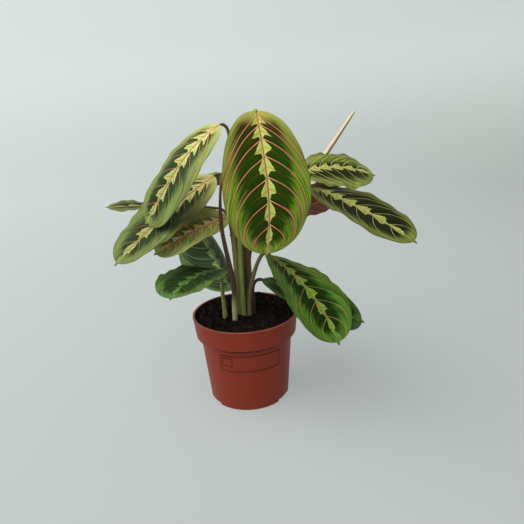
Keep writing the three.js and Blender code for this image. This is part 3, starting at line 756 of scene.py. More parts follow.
def leaf_skin():
    """Living leaf: a thin waxy skin with a satin gloss over its colours, maroon below."""
    material, put = start_material("waxy_patterned_leaf")
    own = {name: put(ATTRIBUTE, attribute_name=name).outputs["Fac"] for name in MARKS}
    outer, lobes, dark, beside, pale, red = (put(ATTRIBUTE, attribute_name=name) for name in TINTS)
    reach, rib, share = own["reach"], own["rib"], own["share"]
    place = put(PLACE).outputs["Object"]
    mottle = put(NOISE, {"Vector": place, "Scale": per(17), "Detail": 4.0})
    slow = put(NOISE, {"Vector": place, "Scale": per(45), "Detail": 1.0})
    phase = put(MATH, (own["vein"],), operation="FRACT")
    stripes, tears, rust = vein_textures(put, own)
    lobe, core, blotch = lobes_and_blotches(put, own, phase, stripes, tears)
    off, line, brick, thin = side_veins(put, own, phase)
    rib_colour = put(BLEND, (0.5, pale, red))

    # The outer green: pale and dark stripes, yellower towards the tip, with rust near the veins.
    rusty = put(TIMES, (put(SMOOTH, (rust, 0.49, 0.58, 0, own["rust"])),
                        put(SMOOTH, (off, 6.0, 1.0, 0.3))))
    green = outer
    for mask, colour in ((put(SMOOTH, (stripes, 0.52, 0.6, 0, 0.45)), lobes),
                         (put(SMOOTH, (stripes, 0.5, 0.42, 0, 0.7)), dark),
                         (put(CURVE, {"Value": share}, points=YELLOWING), lobes),
                         (rusty, rib_colour)):
        green = put(BLEND, (mask, green, colour))

    # The blotch: brown beside the veins, here and there, and green between them.
    browned = put(TIMES, (put(SMOOTH, (off, 5.0, 1.2, 0, 0.8)), put(SMOOTH, (slow, 0.38, 0.62))))
    deep = put(BLEND, (0.82, put(BLEND, (stripes, dark, outer)), dark))
    deep = put(BLEND, (browned, deep, beside))

    # The lobe: greener in its middle, warmer towards the midrib. The veins are paler there.
    near_rib = put(SMOOTH, (rib, 4.5, 0.8, 0, 0.55))
    lobe_colour = put(BLEND, (near_rib, put(BLEND, (core, lobes, outer)),
                              put(BLEND, (0.35, lobes, pale))))
    line_colour = put(BLEND, (put(SMOOTH, (reach, 0.24, 0.06, 0, 0.6)), pale, lobes))

    # The midrib is lost in the green before it gets to the tip, and the edge is darker.
    midrib = put(TIMES, (put(SMOOTH, (rib, 0.95, 0.45)), put(SMOOTH, (share, 0.93, 0.72))))
    rim = put(SMOOTH, (reach, 0.965, 0.99, 0, 0.35))
    skin = green
    for mask, colour in ((blotch, deep), (lobe, lobe_colour), (thin, red), (brick, red),
                         (line, line_colour), (midrib, rib_colour), (rim, dark)):
        skin = put(BLEND, (mask, skin, colour))

    below = put(BLEND, (mottle, "#6A2A26", "#87403A"))
    for mask, colour in ((put(RANGE, (stripes, 0, 1, 0, 0.4)), "#8A6A44"), (line, "#A8604C"),
                         (midrib, "#B0804F")):
        below = put(BLEND, (mask, below, colour))
    relief = put(PLUS, (stripes, put(TIMES, (line, -0.7))))
    return end_material(material, {
        "Base Color": put(BLEND, (own["upper"], below, skin)),
        "Roughness": put(RANGE, (stripes, 0.25, 0.75, 0.44, 0.58)),
        "IOR": 1.4,
        "Specular IOR Level": 0.12,
        "Normal": put(BUMP, {"Height": relief, "Strength": 0.6, "Distance": 0.4 * MM}),
    })


leaf_material = leaf_skin()
for name, blade in blades.items():
    blade.data.materials.append(leaf_material)
    finish_piece(blade, "leaf_" + name)
print("leaf skin nodes:", len(leaf_material.node_tree.nodes))

# %% [markdown]
# A stem is a round stalk that bends on its way from the peat to its blade. Its path has the same
# points as the solid stem, with the corners rounded. A Bezier curve object could hold it, but
# handles would have to be set by hand, so each corner is rounded by a short rule and the path is a
# line of points.

# %% Paths of the stems
STEM_SUNK = 84  # mm, height of the stem's foot inside the peat
STEM_STEPS = 10  # points on each bend


def rounded_line(controls, steps):
    """A smooth line that starts and ends at the outer points and rounds every other one."""
    controls = [np.array(c, dtype=float) for c in controls]
    last = len(controls) - 1
    line = [controls[0]]
    for k in range(1, last):
        start = controls[0] if k == 1 else (controls[k - 1] + controls[k]) / 2
        end = controls[last] if k == last - 1 else (controls[k] + controls[k + 1]) / 2
        for u in np.arange(1, steps + 1) / steps:
            line.append((1 - u) ** 2 * start + 2 * u * (1 - u) * controls[k] + u * u * end)
    return line


def stem_path(leaf):
    """Points in mm from inside the peat to just inside the blade."""
    along = blade_frame(leaf, [0.0])[0][0]
    base = np.array(leaf["base"], dtype=float)
    foot = (*leaf["stem"][0][:2], STEM_SUNK)
    controls = [foot, *leaf["stem"], base - along * leaf["hook"], base + along * 0.3]
    return rounded_line(controls, STEM_STEPS)


print("front stem has", len(stem_path(LEAVES["front"])), "points")

# %% [markdown]
# A few helpers serve every Geometry Nodes tree below. One starts a tree with a named input for each
# size, one ends it with real geometry and its materials, and one runs it on an object and keeps the
# result as a plain mesh. Sizes are set before the object is first evaluated.

# %% Helpers for Geometry Nodes
TO_CURVE = "GeometryNodeMeshToCurve"
SWEEP = "GeometryNodeCurveToMesh"
MERGE = "GeometryNodeMergeByDistance"
JOIN = "GeometryNodeJoinGeometry"
PLANT = "GeometryNodeInstanceOnPoints"
CHANCE = "FunctionNodeRandomValue"
CIRCLE = ("GeometryNodeCurvePrimitiveCircle", {"mode": "RADIUS"})
SCATTER = ("GeometryNodeDistributePointsOnFaces", {"distribute_method": "RANDOM"})
STORE = ("GeometryNodeStoreNamedAttribute", {"data_type": "FLOAT", "domain": "POINT"})


def start_tree(name, sizes):
    """A geometry tree with a named input for each size. Gives the tree, the function that adds a
    node to it, and its inputs by name."""
    tree = bpy.data.node_groups.new(name, "GeometryNodeTree")
    for way in ("INPUT", "OUTPUT"):
        tree.interface.new_socket("Geometry", in_out=way, socket_type="NodeSocketGeometry")
    for size, value in sizes.items():
        kind = "NodeSocketInt" if isinstance(value, int) else "NodeSocketFloat"
        tree.interface.new_socket(size, in_out="INPUT", socket_type=kind).default_value = value
    put = partial(add, tree)
    return tree, put, put("NodeGroupInput").outputs


def joined(tree, parts):
    """One geometry from several."""
    whole = add(tree, JOIN)
    for part in parts:
        tree.links.new(part.outputs[0], whole.inputs[0])
    return whole


def end_tree(tree, parts):
    """Joins pairs of geometry and material into the tree's output, as real mesh."""
    dressed = []
    for geometry, material in parts:
        solid = add(tree, "GeometryNodeRealizeInstances", (geometry,))
        look = {"Geometry": solid, "Material": material}
        dressed.append(add(tree, "GeometryNodeSetMaterial", look))
    add(tree, "NodeGroupOutput", (joined(tree, dressed),))
    return tree


def keep_result(piece):
    """Leaves what the modifiers of a piece make of it there, as a plain mesh."""
    graph = bpy.context.evaluated_depsgraph_get()
    made = bpy.data.meshes.new_from_object(piece.evaluated_get(graph))
    piece.modifiers.clear()
    piece.data = made


def run_tree(piece, tree, sizes=None):
    """Runs the tree on a piece and leaves its result there."""
    modifier = piece.modifiers.new(tree.name, "NODES")
    modifier.node_group = tree
    for item in tree.interface.items_tree:
        if item.in_out == "INPUT" and item.name in (sizes or {}):
            modifier[item.identifier] = sizes[item.name]
    keep_result(piece)
    return piece


print("a stored number goes to each", STORE[1]["domain"])

# %% [markdown]
# A stalk is green near the peat and turns red-brown towards the blade. A change over the height
# alone would miss on a stem that bends over, so the colour follows the share of the way along the
# path, which each stalk stores. Noise that is drawn out along the stalk gives the fibres under its
# skin. The hairs are clear and catch the light, so they are paler than the stalk.

# %% Finish of the stems
STALK_KEYS = ("low", "high", "turn", "share")
STALK_FIBRES = (per(0.67), per(0.67), per(17))  # vascular bundles: 0.7 mm wide, 17 mm long
TURN_LENGTH = 0.1  # share of the stalk over which one colour turns into the other


def stalk_finish():
    """Juicy plant stalk: one colour near the peat, another one near the blade, finely streaked."""
    material, put = start_material("juicy_hairy_stalk")
    low, high, turn, share = (put(ATTRIBUTE, attribute_name=key) for key in STALK_KEYS)
    turn, share = turn.outputs["Fac"], share.outputs["Fac"]
    place = put(PLACE).outputs["Object"]
    drawn = put(MAPPING, {"Vector": place, "Scale": STALK_FIBRES})
    streak = put(NOISE, {"Vector": drawn, "Detail": 2.0, "Scale": 1.0})
    wander = put(PLUS_TIMES, (streak, 0.16, share))
    before = put(MINUS, (turn, TURN_LENGTH))
    turned = put(SMOOTH, (wander, before, turn))
    plain = put(BLEND, (turned, low, high))
    dark = put(SMOOTH, (streak, 0.55, 0.35, 0, 0.45))
    colour = put(BLEND, (dark, plain, "#2A2A18"))
    bump = put(BUMP, {"Height": streak, "Strength": 0.5, "Distance": 0.25 * MM})
    return end_material(material, {"Base Color": colour, "Roughness": 0.5, "IOR": 1.4,
                                   "Normal": bump})


def hair_finish():
    """Fine clear plant hair: pale and rough."""
    material, put = start_material("pale_plant_hair")
    place = put(PLACE).outputs["Object"]
    patch = put(NOISE, {"Vector": place, "Scale": per(11)})
    colour = put(BLEND, (patch, "#7C8454", "#A6A67C"))
    return end_material(material, {"Base Color": colour, "Roughness": 0.7})


stalk_material = stalk_finish()
hair_material = hair_finish()
print("stalk and hair finishes ready")

# %% [markdown]
# A stem is thick where it leaves the peat and thin where it meets the blade, with a swollen joint
# just before it and fine short hairs all over. Geometry Nodes suit that: a circle swept along a
# path and hairs strewn over its surface are each one rule, where modelling them would be thousands
# of pieces.

# %% Stem tree
STALK_RADIUS = 1.4  # mm, at the blade
STEM_SIZES = {
    "Foot radius": 3.0 * MM,
    "Blade radius": STALK_RADIUS * MM,
    "Sides": 14,
    "Hair length": 0.8 * MM,
    "Hair radius": 0.05 * MM,
    "Hairs per square metre": 170000.0,
    "Seed": 5,
}
# How thick the stalk is on its way up: 1 is the foot's radius and 0 the blade's.
STEM_TAPER = ((0, 1), (0.2, 0.9), (0.45, 0.66), (0.7, 0.36), (0.86, 0.12), (0.94, 0.22), (1, 0.05))


def stem_tree():
    """A round profile swept along a path, tapered, with hairs on its surface."""
    tree, put, sizes = start_tree("stalk_with_hairs", STEM_SIZES)
    path = put(TO_CURVE, {"Mesh": sizes["Geometry"]})
    share = put("GeometryNodeSplineParameter")
    marked = put(STORE, {"Geometry": path, "Name": "share", "Value": share})
    taper = put(CURVE, {"Value": share}, points=STEM_TAPER)
    spread = put(MINUS, (sizes["Foot radius"], sizes["Blade radius"]))
    radius = put(PLUS_TIMES, (taper, spread, sizes["Blade radius"]))
    circle = put(CIRCLE, {"Resolution": sizes["Sides"], "Radius": 1.0})
    stalk = put(SWEEP, {"Curve": marked, "Profile Curve": circle, "Scale": radius,
                        "Fill Caps": True})
    feet = put(SCATTER, {"Mesh": stalk, "Density": sizes["Hairs per square metre"],
                         "Seed": sizes["Seed"]}).outputs
    hair = put("GeometryNodeMeshCone", {"Vertices": 3, "Depth": sizes["Hair length"],
                                        "Radius Top": 0.0, "Radius Bottom": sizes["Hair radius"]})
    length = put(CHANCE, {"Min": 0.4, "Max": 1.1, "Seed": 3}, data_type="FLOAT")
    hairs = put(PLANT, {"Points": feet["Points"], "Instance": hair, "Rotation": feet["Rotation"],
                        "Scale": length})
    return end_tree(tree, [(stalk, stalk_material), (hairs, hair_material)])


stalks = stem_tree()
print("stem tree nodes:", len(stalks.nodes))

# %% [markdown]
# Seventeen stems stand in the peat, one to each leaf, and the newest leaf's is one of them. Two
# lists hold what differs from one to the next: its colours, which are darker, painted shade, where
# it stands in shade, and its girth. A copy of the tree for each stem would be seventeen trees to
# keep alike, so all run the same one with other sizes.

# %% Stems of all leaves
# Colour near the peat, colour near the blade, and the share of the way where they meet. The
# stems that stand in shade have darker colours, which are painted shade.
STALK_COLOURS_AND_SHADE = dict(
    front=("#86944A", "#98A652", 0.93), upper_left=("#969150", "#765C40", 0.6),
    mid_left=("#BBC08A", "#523828", 0.32), inner_left=("#3A4528", "#4A3527", 0.4),
    far_left=("#5F6B38", "#6B3A28", 0.5), back_left=("#64723C", "#57392C", 0.6),
    shade_left=("#6B7040", "#4A4A2C", 0.9), low_left=("#8D9956", "#6A653C", 0.9),
    upper_right=("#5C6838", "#6A4630", 0.6), mid_right=("#4A4A2C", "#63402C", 0.45),
    inner_right=("#5C6A36", "#57392C", 0.5), low_right=("#746E46", "#686040", 0.4),
    under_right=("#4A3A2C", "#4A3527", 0.4), back=("#4C5A2C", "#57392C", 0.6),
    back_right=("#4C5A2C", "#57392C", 0.6), low_back=("#4C5A2C", "#57392C", 0.7),
    rolled=("#4C5A2C", "#A9A67C", 0.85))
# Radius in mm at the blade, where it isn't the usual one.
STALK_GIRTH = dict(low_right=1.9, under_right=1.6, upper_left=1.25, mid_left=1.25)
SPIKE_BASE = (68, 56, 222)  # mm, the two ends of the rolled leaf
SPIKE_TIP = (136, 58, 313)
spike_run = np.subtract(SPIKE_TIP, SPIKE_BASE)
ROLLED = dict(STRAIGHT, name="rolled", number=16, base=SPIKE_BASE, droop=0,
              heading=math.degrees(math.atan2(spike_run[1], spike_run[0])),
              pitch=math.degrees(math.atan2(spike_run[2], math.hypot(*spike_run[:2]))),
              stem=((2, 22.5, 115), (0, 26, 190), (34, 52, 205)), hook=12)
for leaf in [*LEAVES.values(), ROLLED]:
    name = leaf["name"]
    girth = {"Blade radius": STALK_GIRTH.get(name, STALK_RADIUS) * MM, "Seed": leaf["number"]}
    stem = run_tree(path_object("stalk_" + name, stem_path(leaf)), stalks, girth)
    for key, look in zip(STALK_KEYS, STALK_COLOURS_AND_SHADE[name]):
        store(stem.data, key, linear(look) if isinstance(look, str) else look)
    finish_piece(stem, "stem_" + name)
print("last stalk:", len(stem.data.polygons), "faces")

# %% [markdown]
# The newest leaf is still rolled up, and only its cream underside shows, with a blush of pink
# towards the tip and a dark seam where the sheet ends. The colours follow the flat sheet's own
# coordinates, round and along, so that the streaks of its fine veins wind up with it.

# %% Finish of the rolled leaf
SHEET_LENGTH = float(np.linalg.norm(spike_run))  # mm
SHEET_WIDTH = 33  # mm, what is rolled up, from its inner edge to its outer one
SHEET_STREAK = (0.55, 38)  # mm, width and length of the fine veins' streaks
SEAM = (0.945, 0.965)  # where it starts and is full, as shares of the way from the inner edge


def spike_finish():
    """Young leaf tissue: cream with a pink blush and a thin dark seam at its outer edge."""
    material, put = start_material("young_rolled_leaf")
    turn = put(ATTRIBUTE, attribute_name="round").outputs["Fac"]
    along = put(ATTRIBUTE, attribute_name="along").outputs["Fac"]
    flat = put(COMBINE, {"X": turn, "Y": along})
    streaks = (SHEET_WIDTH / SHEET_STREAK[0], SHEET_LENGTH / SHEET_STREAK[1], 1)
    drawn = put(MAPPING, {"Vector": flat, "Scale": streaks})
    streak = put(NOISE, {"Vector": drawn, "Scale": 1.0})
    place = put(PLACE).outputs["Object"]
    cloud = put(NOISE, {"Vector": place, "Scale": per(25)})
    cream = put(BLEND, (streak, "#E0D6B6", "#CDB896"))
    high = put(SMOOTH, (along, 0.3, 0.8, 0, 0.6))
    pink = put(TIMES, (cloud, high))
    warm = put(BLEND, (pink, cream, "#B89A84"))
    seam = put(SMOOTH, (turn, *SEAM))
    colour = put(BLEND, (seam, warm, "#5A3526"))
    bump = put(BUMP, {"Height": streak, "Strength": 0.4, "Distance": 0.2 * MM})
    return end_material(material, {"Base Color": colour, "Roughness": 0.45, "Normal": bump})


spike_material = spike_finish()
print("rolled leaf is", round(SHEET_LENGTH), "mm long")

# %% [markdown]
# A rolled sheet is a rule: going once round, the radius grows by the thickness of the sheet, and
# the whole roll swells and then narrows to a point. A cone would show no edge. So the tree lays a
# flat grid out along that spiral and gives it a thickness, and then the roll is stood on its stem.

# %% Rolled leaf
SPIKE_SIZES = {
    "Length": SHEET_LENGTH * MM,
    "Widest radius": 3.5 * MM,
    "Turns": 1.7,
    "Sheet": 0.35 * MM,
    "Bow": 1.6 * MM,
    "Steps round": 64,
    "Steps along": 60,
}
SPIKE_SWELL = ((0, 0.5), (0.1, 0.9), (0.3, 1), (0.6, 0.88), (0.85, 0.66), (0.96, 0.56), (1, 0.4))
SEAM_TURN = 230  # degrees that the seam is turned towards the viewer
SPIKE_CREASE = math.radians(50)  # edges that are sharper than this stay sharp


def spike_tree(material):
    """A flat grid laid along a spiral that swells and narrows, with a thickness."""
    tree, put, sizes = start_tree("rolled_sheet", SPIKE_SIZES)
    sheet = put("GeometryNodeMeshGrid", {"Size X": 1.0, "Size Y": 1.0,
                                         "Vertices X": sizes["Steps round"],
                                         "Vertices Y": sizes["Steps along"]})
    spot = put(SEPARATE, (put("GeometryNodeInputPosition"),)).outputs
    turn = put(PLUS, (spot["X"], 0.5))
    along = put(PLUS, (spot["Y"], 0.5))

    # The radius: what the sheets lying over this one take is left out.
    swell = put(CURVE, {"Value": along}, points=SPIKE_SWELL)
    outer = put(TIMES, (swell, sizes["Widest radius"]))
    to_edge = put(MINUS, (1.0, turn))
    turns_over = put(TIMES, (to_edge, sizes["Turns"]))
    sheets_over = put(PLUS, (turns_over, 1.0))
    covered = put(TIMES, (sheets_over, sizes["Sheet"]))
    bare = put(MINUS, (outer, covered))
    radius = put(MATH, (bare, 0.1 * MM), operation="MAXIMUM")

    # The place: round the axis, which bows a little to one side.
    turned = put(TIMES, (turn, sizes["Turns"]))
    angle = put(TIMES, (turned, 2 * math.pi))
    cosine = put(MATH, (angle,), operation="COSINE")
    sine = put(MATH, (angle,), operation="SINE")
    half_turn = put(TIMES, (along, math.pi))
    hump = put(MATH, (half_turn,), operation="SINE")
    bow = put(TIMES, (hump, sizes["Bow"]))
    x = put(PLUS_TIMES, (radius, cosine, bow))
    y = put(TIMES, (radius, sine))
    z = put(TIMES, (along, sizes["Length"]))
    place = put(COMBINE, {"X": x, "Y": y, "Z": z})
    marked = sheet
    for name, value in (("round", turn), ("along", along)):
        marked = put(STORE, {"Geometry": marked, "Name": name, "Value": value})
    rolled = put("GeometryNodeSetPosition", {"Geometry": marked, "Position": place})
    outer_skin = put("GeometryNodeExtrudeMesh", {"Mesh": rolled, "Offset Scale": sizes["Sheet"],
                                                 "Individual": False})
    inner_skin = put("GeometryNodeFlipFaces", {"Mesh": rolled})
    both = joined(tree, (outer_skin, inner_skin))
    shell = put(MERGE, {"Geometry": both, "Distance": 0.001 * MM})
    return end_tree(tree, [(shell, material)])


spike = run_tree(mesh_object("rolled_leaf", [(0, 0, 0)], []), spike_tree(spike_material))
up = spike_run / np.linalg.norm(spike_run)
side = np.cross((0, 1, 0), up)
side /= np.linalg.norm(side)
turned = Matrix(np.stack([-side, np.cross(up, -side), up], axis=1).tolist()).to_4x4()
seam_turn = Matrix.Rotation(math.radians(SEAM_TURN), 4, "Z")
spike.data.transform(Matrix.Translation([v * MM for v in SPIKE_BASE]) @ turned @ seam_turn)
spike.data.shade_smooth()
spike.data.set_sharp_from_angle(angle=SPIKE_CREASE)
finish_piece(spike, "leaf_rolled")
tip = [round(v / MM) for v in spike.bound_box[6]]
print("rolled leaf:", len(spike.data.polygons), "faces, its box ends at", tip)

# %% [markdown]
# The pot tapers down from a wider band under its rim. Peat, pot and panel all have to meet the same
# wall, so its sizes stand here once, with two functions that give its outer and its inner side.

# %% Wall of the pot
POT_WALL = 1.7  # mm; the pot's other sizes are in mm too
POT_HEIGHT = 102
POT_BAND_Z = 79.5
POT_SHOULDER = (52.3, 76.6)
POT_BAND_RADIUS = 57.5
POT_RIM_RADIUS = 60
POT_BASE_RADIUS = 45.7
POT_FLOOR = 5.2


def pot_radius(z):
    """Outer radius of the pot at a height."""
    if z > POT_BAND_Z:
        up = (z - POT_BAND_Z) / (POT_HEIGHT - POT_BAND_Z)
        return POT_BAND_RADIUS + up * (POT_RIM_RADIUS - POT_BAND_RADIUS)
    return POT_BASE_RADIUS + z / POT_SHOULDER[1] * (POT_SHOULDER[0] - POT_BASE_RADIUS)


def inner_wall(gap, top):
    """Inner surface of the pot from a height down to its floor, moved inwards by a gap. Its step
    lies about 1 mm higher than the outer one, so that the wall keeps its thickness."""
    wall = POT_WALL + gap
    return [
        (pot_radius(top) - wall, top),
        (pot_radius(POT_BAND_Z + 1.2) - wall, POT_BAND_Z + 1.2 + gap),
        (POT_SHOULDER[0] - wall, POT_SHOULDER[1] + 1 + gap),
        (pot_radius(POT_FLOOR) - wall, POT_FLOOR + gap),
    ]


print("pot's radius in mm at its base and at its rim:", pot_radius(0), pot_radius(POT_HEIGHT))

# %% [markdown]
# Peat is a mass of dark crumbs and short fibres, heaped up a little towards the pot's rim. Its
# ground could be a disc that a texture lifts, but it has to fit the pot's inner wall and the solid
# filling's height. So it is a closed body of rings, and a few waves of different lengths make its
# lumps.

# %% Peat filling
PEAT_GAP = 0.35  # mm to the pot's wall
PEAT_LEVEL = 97.6  # mm, height at the wall
PEAT_MOUND = 2.4  # mm that the middle lies higher
PEAT_TILT = (0.9, 1.9)  # mm that the right side and the back lie higher
PEAT_LUMP = 0.7  # mm, height of the solid's own lumps
PEAT_BANK = (0.8, 2.3)  # mm that crumbs are heaped up against the rim, in front and at the back
BANK_WIDTH = (1, 9)  # mm from the wall, where the bank is highest and where it is nearly gone
PEAT_CALM = 3  # mm from the wall, over which the small lumps grow to their height
PEAT_SIDES = 144
PEAT_RINGS = 52
LUMP_WAVES = 18
LUMP_LENGTHS = (5, 16)  # mm
LUMP_SLOPE = 0.035  # height of a wave as a share of its length
LUMP_SEED = 7  # another one gives other lumps


def peat_height(x, y):
    """Height of the solid filling's top at a place: the same mound, tilt and two slow waves."""
    across = pot_radius(PEAT_LEVEL)
    mound = PEAT_MOUND * (1 - (x**2 + y**2) / across**2)
    tilt = (PEAT_TILT[0] * x + PEAT_TILT[1] * y) / across
    return PEAT_LEVEL + mound + tilt + PEAT_LUMP * np.sin(0.13 * x + 0.5) * np.cos(0.15 * y - 0.7)


def lumps(x, y):
    """Small uneven ground, from a few waves of different lengths and headings."""
    total = np.zeros_like(x)
    chance = np.random.default_rng(LUMP_SEED)
    for _ in range(LUMP_WAVES):
        heading, phase = chance.uniform(0, 2 * math.pi, 2)
        length = chance.uniform(*LUMP_LENGTHS)
        across = x * math.cos(heading) + y * math.sin(heading)
        total += np.sin(across * 2 * math.pi / length + phase) * LUMP_SLOPE * length
    return total


def make_peat():
    """A closed body: a flat underside, the pot's inner wall and the lumpy top."""
    wall = inner_wall(PEAT_GAP, PEAT_LEVEL)
    rim = wall[0][0]
    turn = around(PEAT_SIDES)
    points = [(0, 0, POT_FLOOR + PEAT_GAP)]
    for r, z in wall[:0:-1]:
        points += level_ring(r, z, turn)
    edge = len(points) + PEAT_SIDES
    for r in np.linspace(rim, 1.0, PEAT_RINGS):
        x, y = r * np.cos(turn), r * np.sin(turn)
        inwards = rim - r
        calm = min(inwards / PEAT_CALM, 1)
        bank = np.interp(y / rim, (-1, 1), PEAT_BANK) * min(inwards / BANK_WIDTH[0], 1)
        bank *= math.exp(-((inwards / BANK_WIDTH[1]) ** 2))
        points += np.stack([x, y, peat_height(x, y) + bank + calm * lumps(x, y)], axis=-1).tolist()
    centre = np.zeros(1)
    points.append((0, 0, float((peat_height(centre, centre) + lumps(centre, centre))[0])))
    after = np.roll(np.arange(PEAT_SIDES), -1)
    faces = [(0, 1 + b, 1 + a) for a, b in enumerate(after)]
    starts = range(1, len(points) - 1, PEAT_SIDES)
    for low in starts[:-1]:
        high = low + PEAT_SIDES
        faces += [(low + a, low + b, high + b, high + a) for a, b in enumerate(after)]
    faces += [(starts[-1] + a, starts[-1] + b, len(points) - 1) for a, b in enumerate(after)]
    on_top = np.arange(len(points)) >= edge
    return mesh_object("peat_filling", points, faces, {"on_top": on_top})


peat = make_peat()
print("peat ground:", len(peat.data.polygons), "faces")

# %% [markdown]
# Moist peat is nearly black and quite rough, with brown places and a few pale specks. One function
# finishes ground, crumbs and fibres: their colours and the size of their grain differ.

# %% Finish of the peat
def peat_finish(name, dark, light, size):
    """Moist peat: nearly black, rough, with brown and a few straw-coloured specks."""
    material, put = start_material(name)
    place = put(PLACE).outputs["Object"]
    grain = put(NOISE, {"Vector": place, "Scale": per(size), "Detail": 5.0, "Roughness": 0.65})
    speck = put("ShaderNodeTexVoronoi", {"Vector": place, "Scale": per(1.4)}).outputs["Color"]
    pick = put("ShaderNodeSeparateColor", (speck,))  # one number by chance for each speck
    brown = put(BLEND, (grain, dark, light))
    few = put(RANGE, (pick, 0.955, 0.965, 0, 0.3))
    colour = put(BLEND, (few, brown, "#6E604E"))
    bump = put(BUMP, {"Height": grain, "Strength": 0.9, "Distance": 1.2 * MM})
    return end_material(material, {"Base Color": colour, "Roughness": 0.9,
                                   "Specular IOR Level": 0.2, "Normal": bump})


ground = peat_finish("moist_peat", "#060302", "#150C08", 2.6)
crumb = peat_finish("peat_crumb", "#060302", "#1B0F0B", 1.8)
fibre = peat_finish("peat_fibre", "#241912", "#463527", 1.0)
print("peat finishes:", ground.name, crumb.name, fibre.name)

# %% [markdown]
# Crumbs and fibres lie on the ground in thousands, so they are strewn by Geometry Nodes over the
# faces of its top, and size and heading are left to chance. A particle system would do the same,
# but its result is harder to keep as a mesh. The seed is fixed, so each run gives the same pot.

# %% Crumbs and fibres
PEAT_SIZES = {
    "Crumbs per square metre": 190000.0,
    "Crumb radius": 1.15 * MM,
    "Fibres per square metre": 26000.0,
    "Fibre length": 5.0 * MM,
    "Fibre radius": 0.14 * MM,
    "Seed": 11,
}


def crumb_tree(ground, crumb, fibre):
    """Crumbs and fibres strewn over the top of the filling."""
    tree, put, sizes = start_tree("strewn_peat", PEAT_SIZES)
    on_top = put("GeometryNodeInputNamedAttribute", {"Name": "on_top"}, data_type="FLOAT")
    is_top = put("FunctionNodeCompare", (on_top, 0.9), operation="GREATER_THAN")
    lump = put("GeometryNodeMeshIcoSphere", {"Radius": sizes["Crumb radius"], "Subdivisions": 1})
    strand = put("GeometryNodeMeshCylinder", {"Vertices": 4, "Radius": sizes["Fibre radius"],
                                              "Depth": sizes["Fibre length"]})
    lying = put("GeometryNodeTransform", {"Geometry": strand, "Rotation": (0, math.radians(80), 0)})
    # What, how many, its finish, the smallest and largest size, and how far it is turned by chance.
    kinds = ((lump, "Crumbs per square metre", crumb, (0.35, 1.25), (3.1, 3.1, 3.1)),
             (lying, "Fibres per square metre", fibre, (0.4, 1.2), (0.35, 0.35, 3.1)))
    parts = [(sizes["Geometry"], ground)]
    for number, (shape, density, material, (low, high), tilt) in enumerate(kinds):
        seed = put(PLUS, (sizes["Seed"], float(number)))
        spots = put(SCATTER, {"Mesh": sizes["Geometry"], "Selection": is_top,
                              "Density": sizes[density], "Seed": seed})
        turn = put(CHANCE, {"Min": [-v for v in tilt], "Max": tilt, "Seed": number},
                   data_type="FLOAT_VECTOR")
        size = put(CHANCE, {"Min": (low, low, low * 0.8), "Max": (high, high, high * 0.9),
                            "Seed": number + 5}, data_type="FLOAT_VECTOR")
        strewn = put(PLANT, {"Points": spots, "Instance": shape, "Rotation": turn, "Scale": size})
        parts.append((strewn, material))
    return end_tree(tree, parts)


run_tree(peat, crumb_tree(ground, crumb, fibre))
finish_piece(peat, "peat")
print("peat:", len(peat.data.polygons), "faces")

# %% [markdown]
# The pot is one moulding: a tapered cup with a straight band under its rim. A round form is a
# profile turned about an axis, so Geometry Nodes sweep one profile round a circle, with every
# corner rounded as in a mould. A Screw modifier would turn it as well, but the corners would be
# left for another step.

# %% Pot
POT_LIP = 1.1  # mm that the rim stands in over the wall
FOOT_PAD = 27  # mm, radius of the pad in the middle of the underside
FOOT_CHANNEL = (28.5, 39, 3)  # inner radius, outer radius, depth in mm
FOOT_RING = 40
FOOT_GAPS = (-150, -30, 90)  # degrees
FOOT_GAP_WIDTH = 28  # degrees
HOLE_RADIUS = 3.6  # mm
HOLE_COUNT = 6
HOLE_CIRCLE = 33.8  # mm, radius of the circle that the holes lie on
TURN_RADIUS = 10  # mm, radius of the circle that the profile is swept round
ROUND_SIDES = 24
POT_CREASE = math.radians(40)  # edges that are sharper than this stay sharp

POT_SIZES = {"Corner radius": 0.5 * MM, "Turn radius": TURN_RADIUS * MM, "Sides": 160}


def pot_profile():
    """Radius and height of the pot's section in mm, from the middle of the underside round to the
    floor. What is added or taken off, all under 3 mm, are the bevels of its edges."""
    inner, outer, depth = FOOT_CHANNEL
    return [
        (0, 0),
        (FOOT_PAD, 0),
        (inner, depth),
        (outer, depth),
        (FOOT_RING, 0),
        (POT_BASE_RADIUS - 0.7, 0),
        (pot_radius(0.8), 0.8),
        POT_SHOULDER,
        (POT_BAND_RADIUS - 0.3, POT_BAND_Z - 0.8),
        (POT_BAND_RADIUS, POT_BAND_Z),
        (pot_radius(POT_HEIGHT - 2.4) - 0.2, POT_HEIGHT - 2.4),
        (POT_RIM_RADIUS, POT_HEIGHT - 1.6),
        (POT_RIM_RADIUS, POT_HEIGHT - 0.5),
        (POT_RIM_RADIUS - 0.5, POT_HEIGHT),
        (POT_RIM_RADIUS - POT_WALL - POT_LIP + 0.5, POT_HEIGHT),
        (POT_RIM_RADIUS - POT_WALL - POT_LIP, POT_HEIGHT - 0.6),
        *inner_wall(0, POT_HEIGHT - 2.6),
        (0, POT_FLOOR),
    ]


def pot_tree():
    """A profile with rounded corners swept round a circle."""
    tree, put, sizes = start_tree("turned_pot", POT_SIZES)
    section = put(TO_CURVE, {"Mesh": sizes["Geometry"]})
    rounded = put("GeometryNodeFilletCurve", {"Curve": section, "Radius": sizes["Corner radius"],
                                              "Limit Radius": True, "Count": 3}, mode="POLY")
    circle = put(CIRCLE, {"Resolution": sizes["Sides"], "Radius": sizes["Turn radius"]})
    turned = put(SWEEP, {"Curve": circle, "Profile Curve": rounded})
    put("NodeGroupOutput", (put(MERGE, {"Geometry": turned, "Distance": 0.01 * MM}),))
    return tree


pot = path_object("nursery_pot", [(r - TURN_RADIUS, -z, 0) for r, z in pot_profile()])
run_tree(pot, pot_tree())
corners = np.array([v.co for v in pot.data.vertices])
print("pot turned:", corners.min(0).round(4), corners.max(0).round(4))

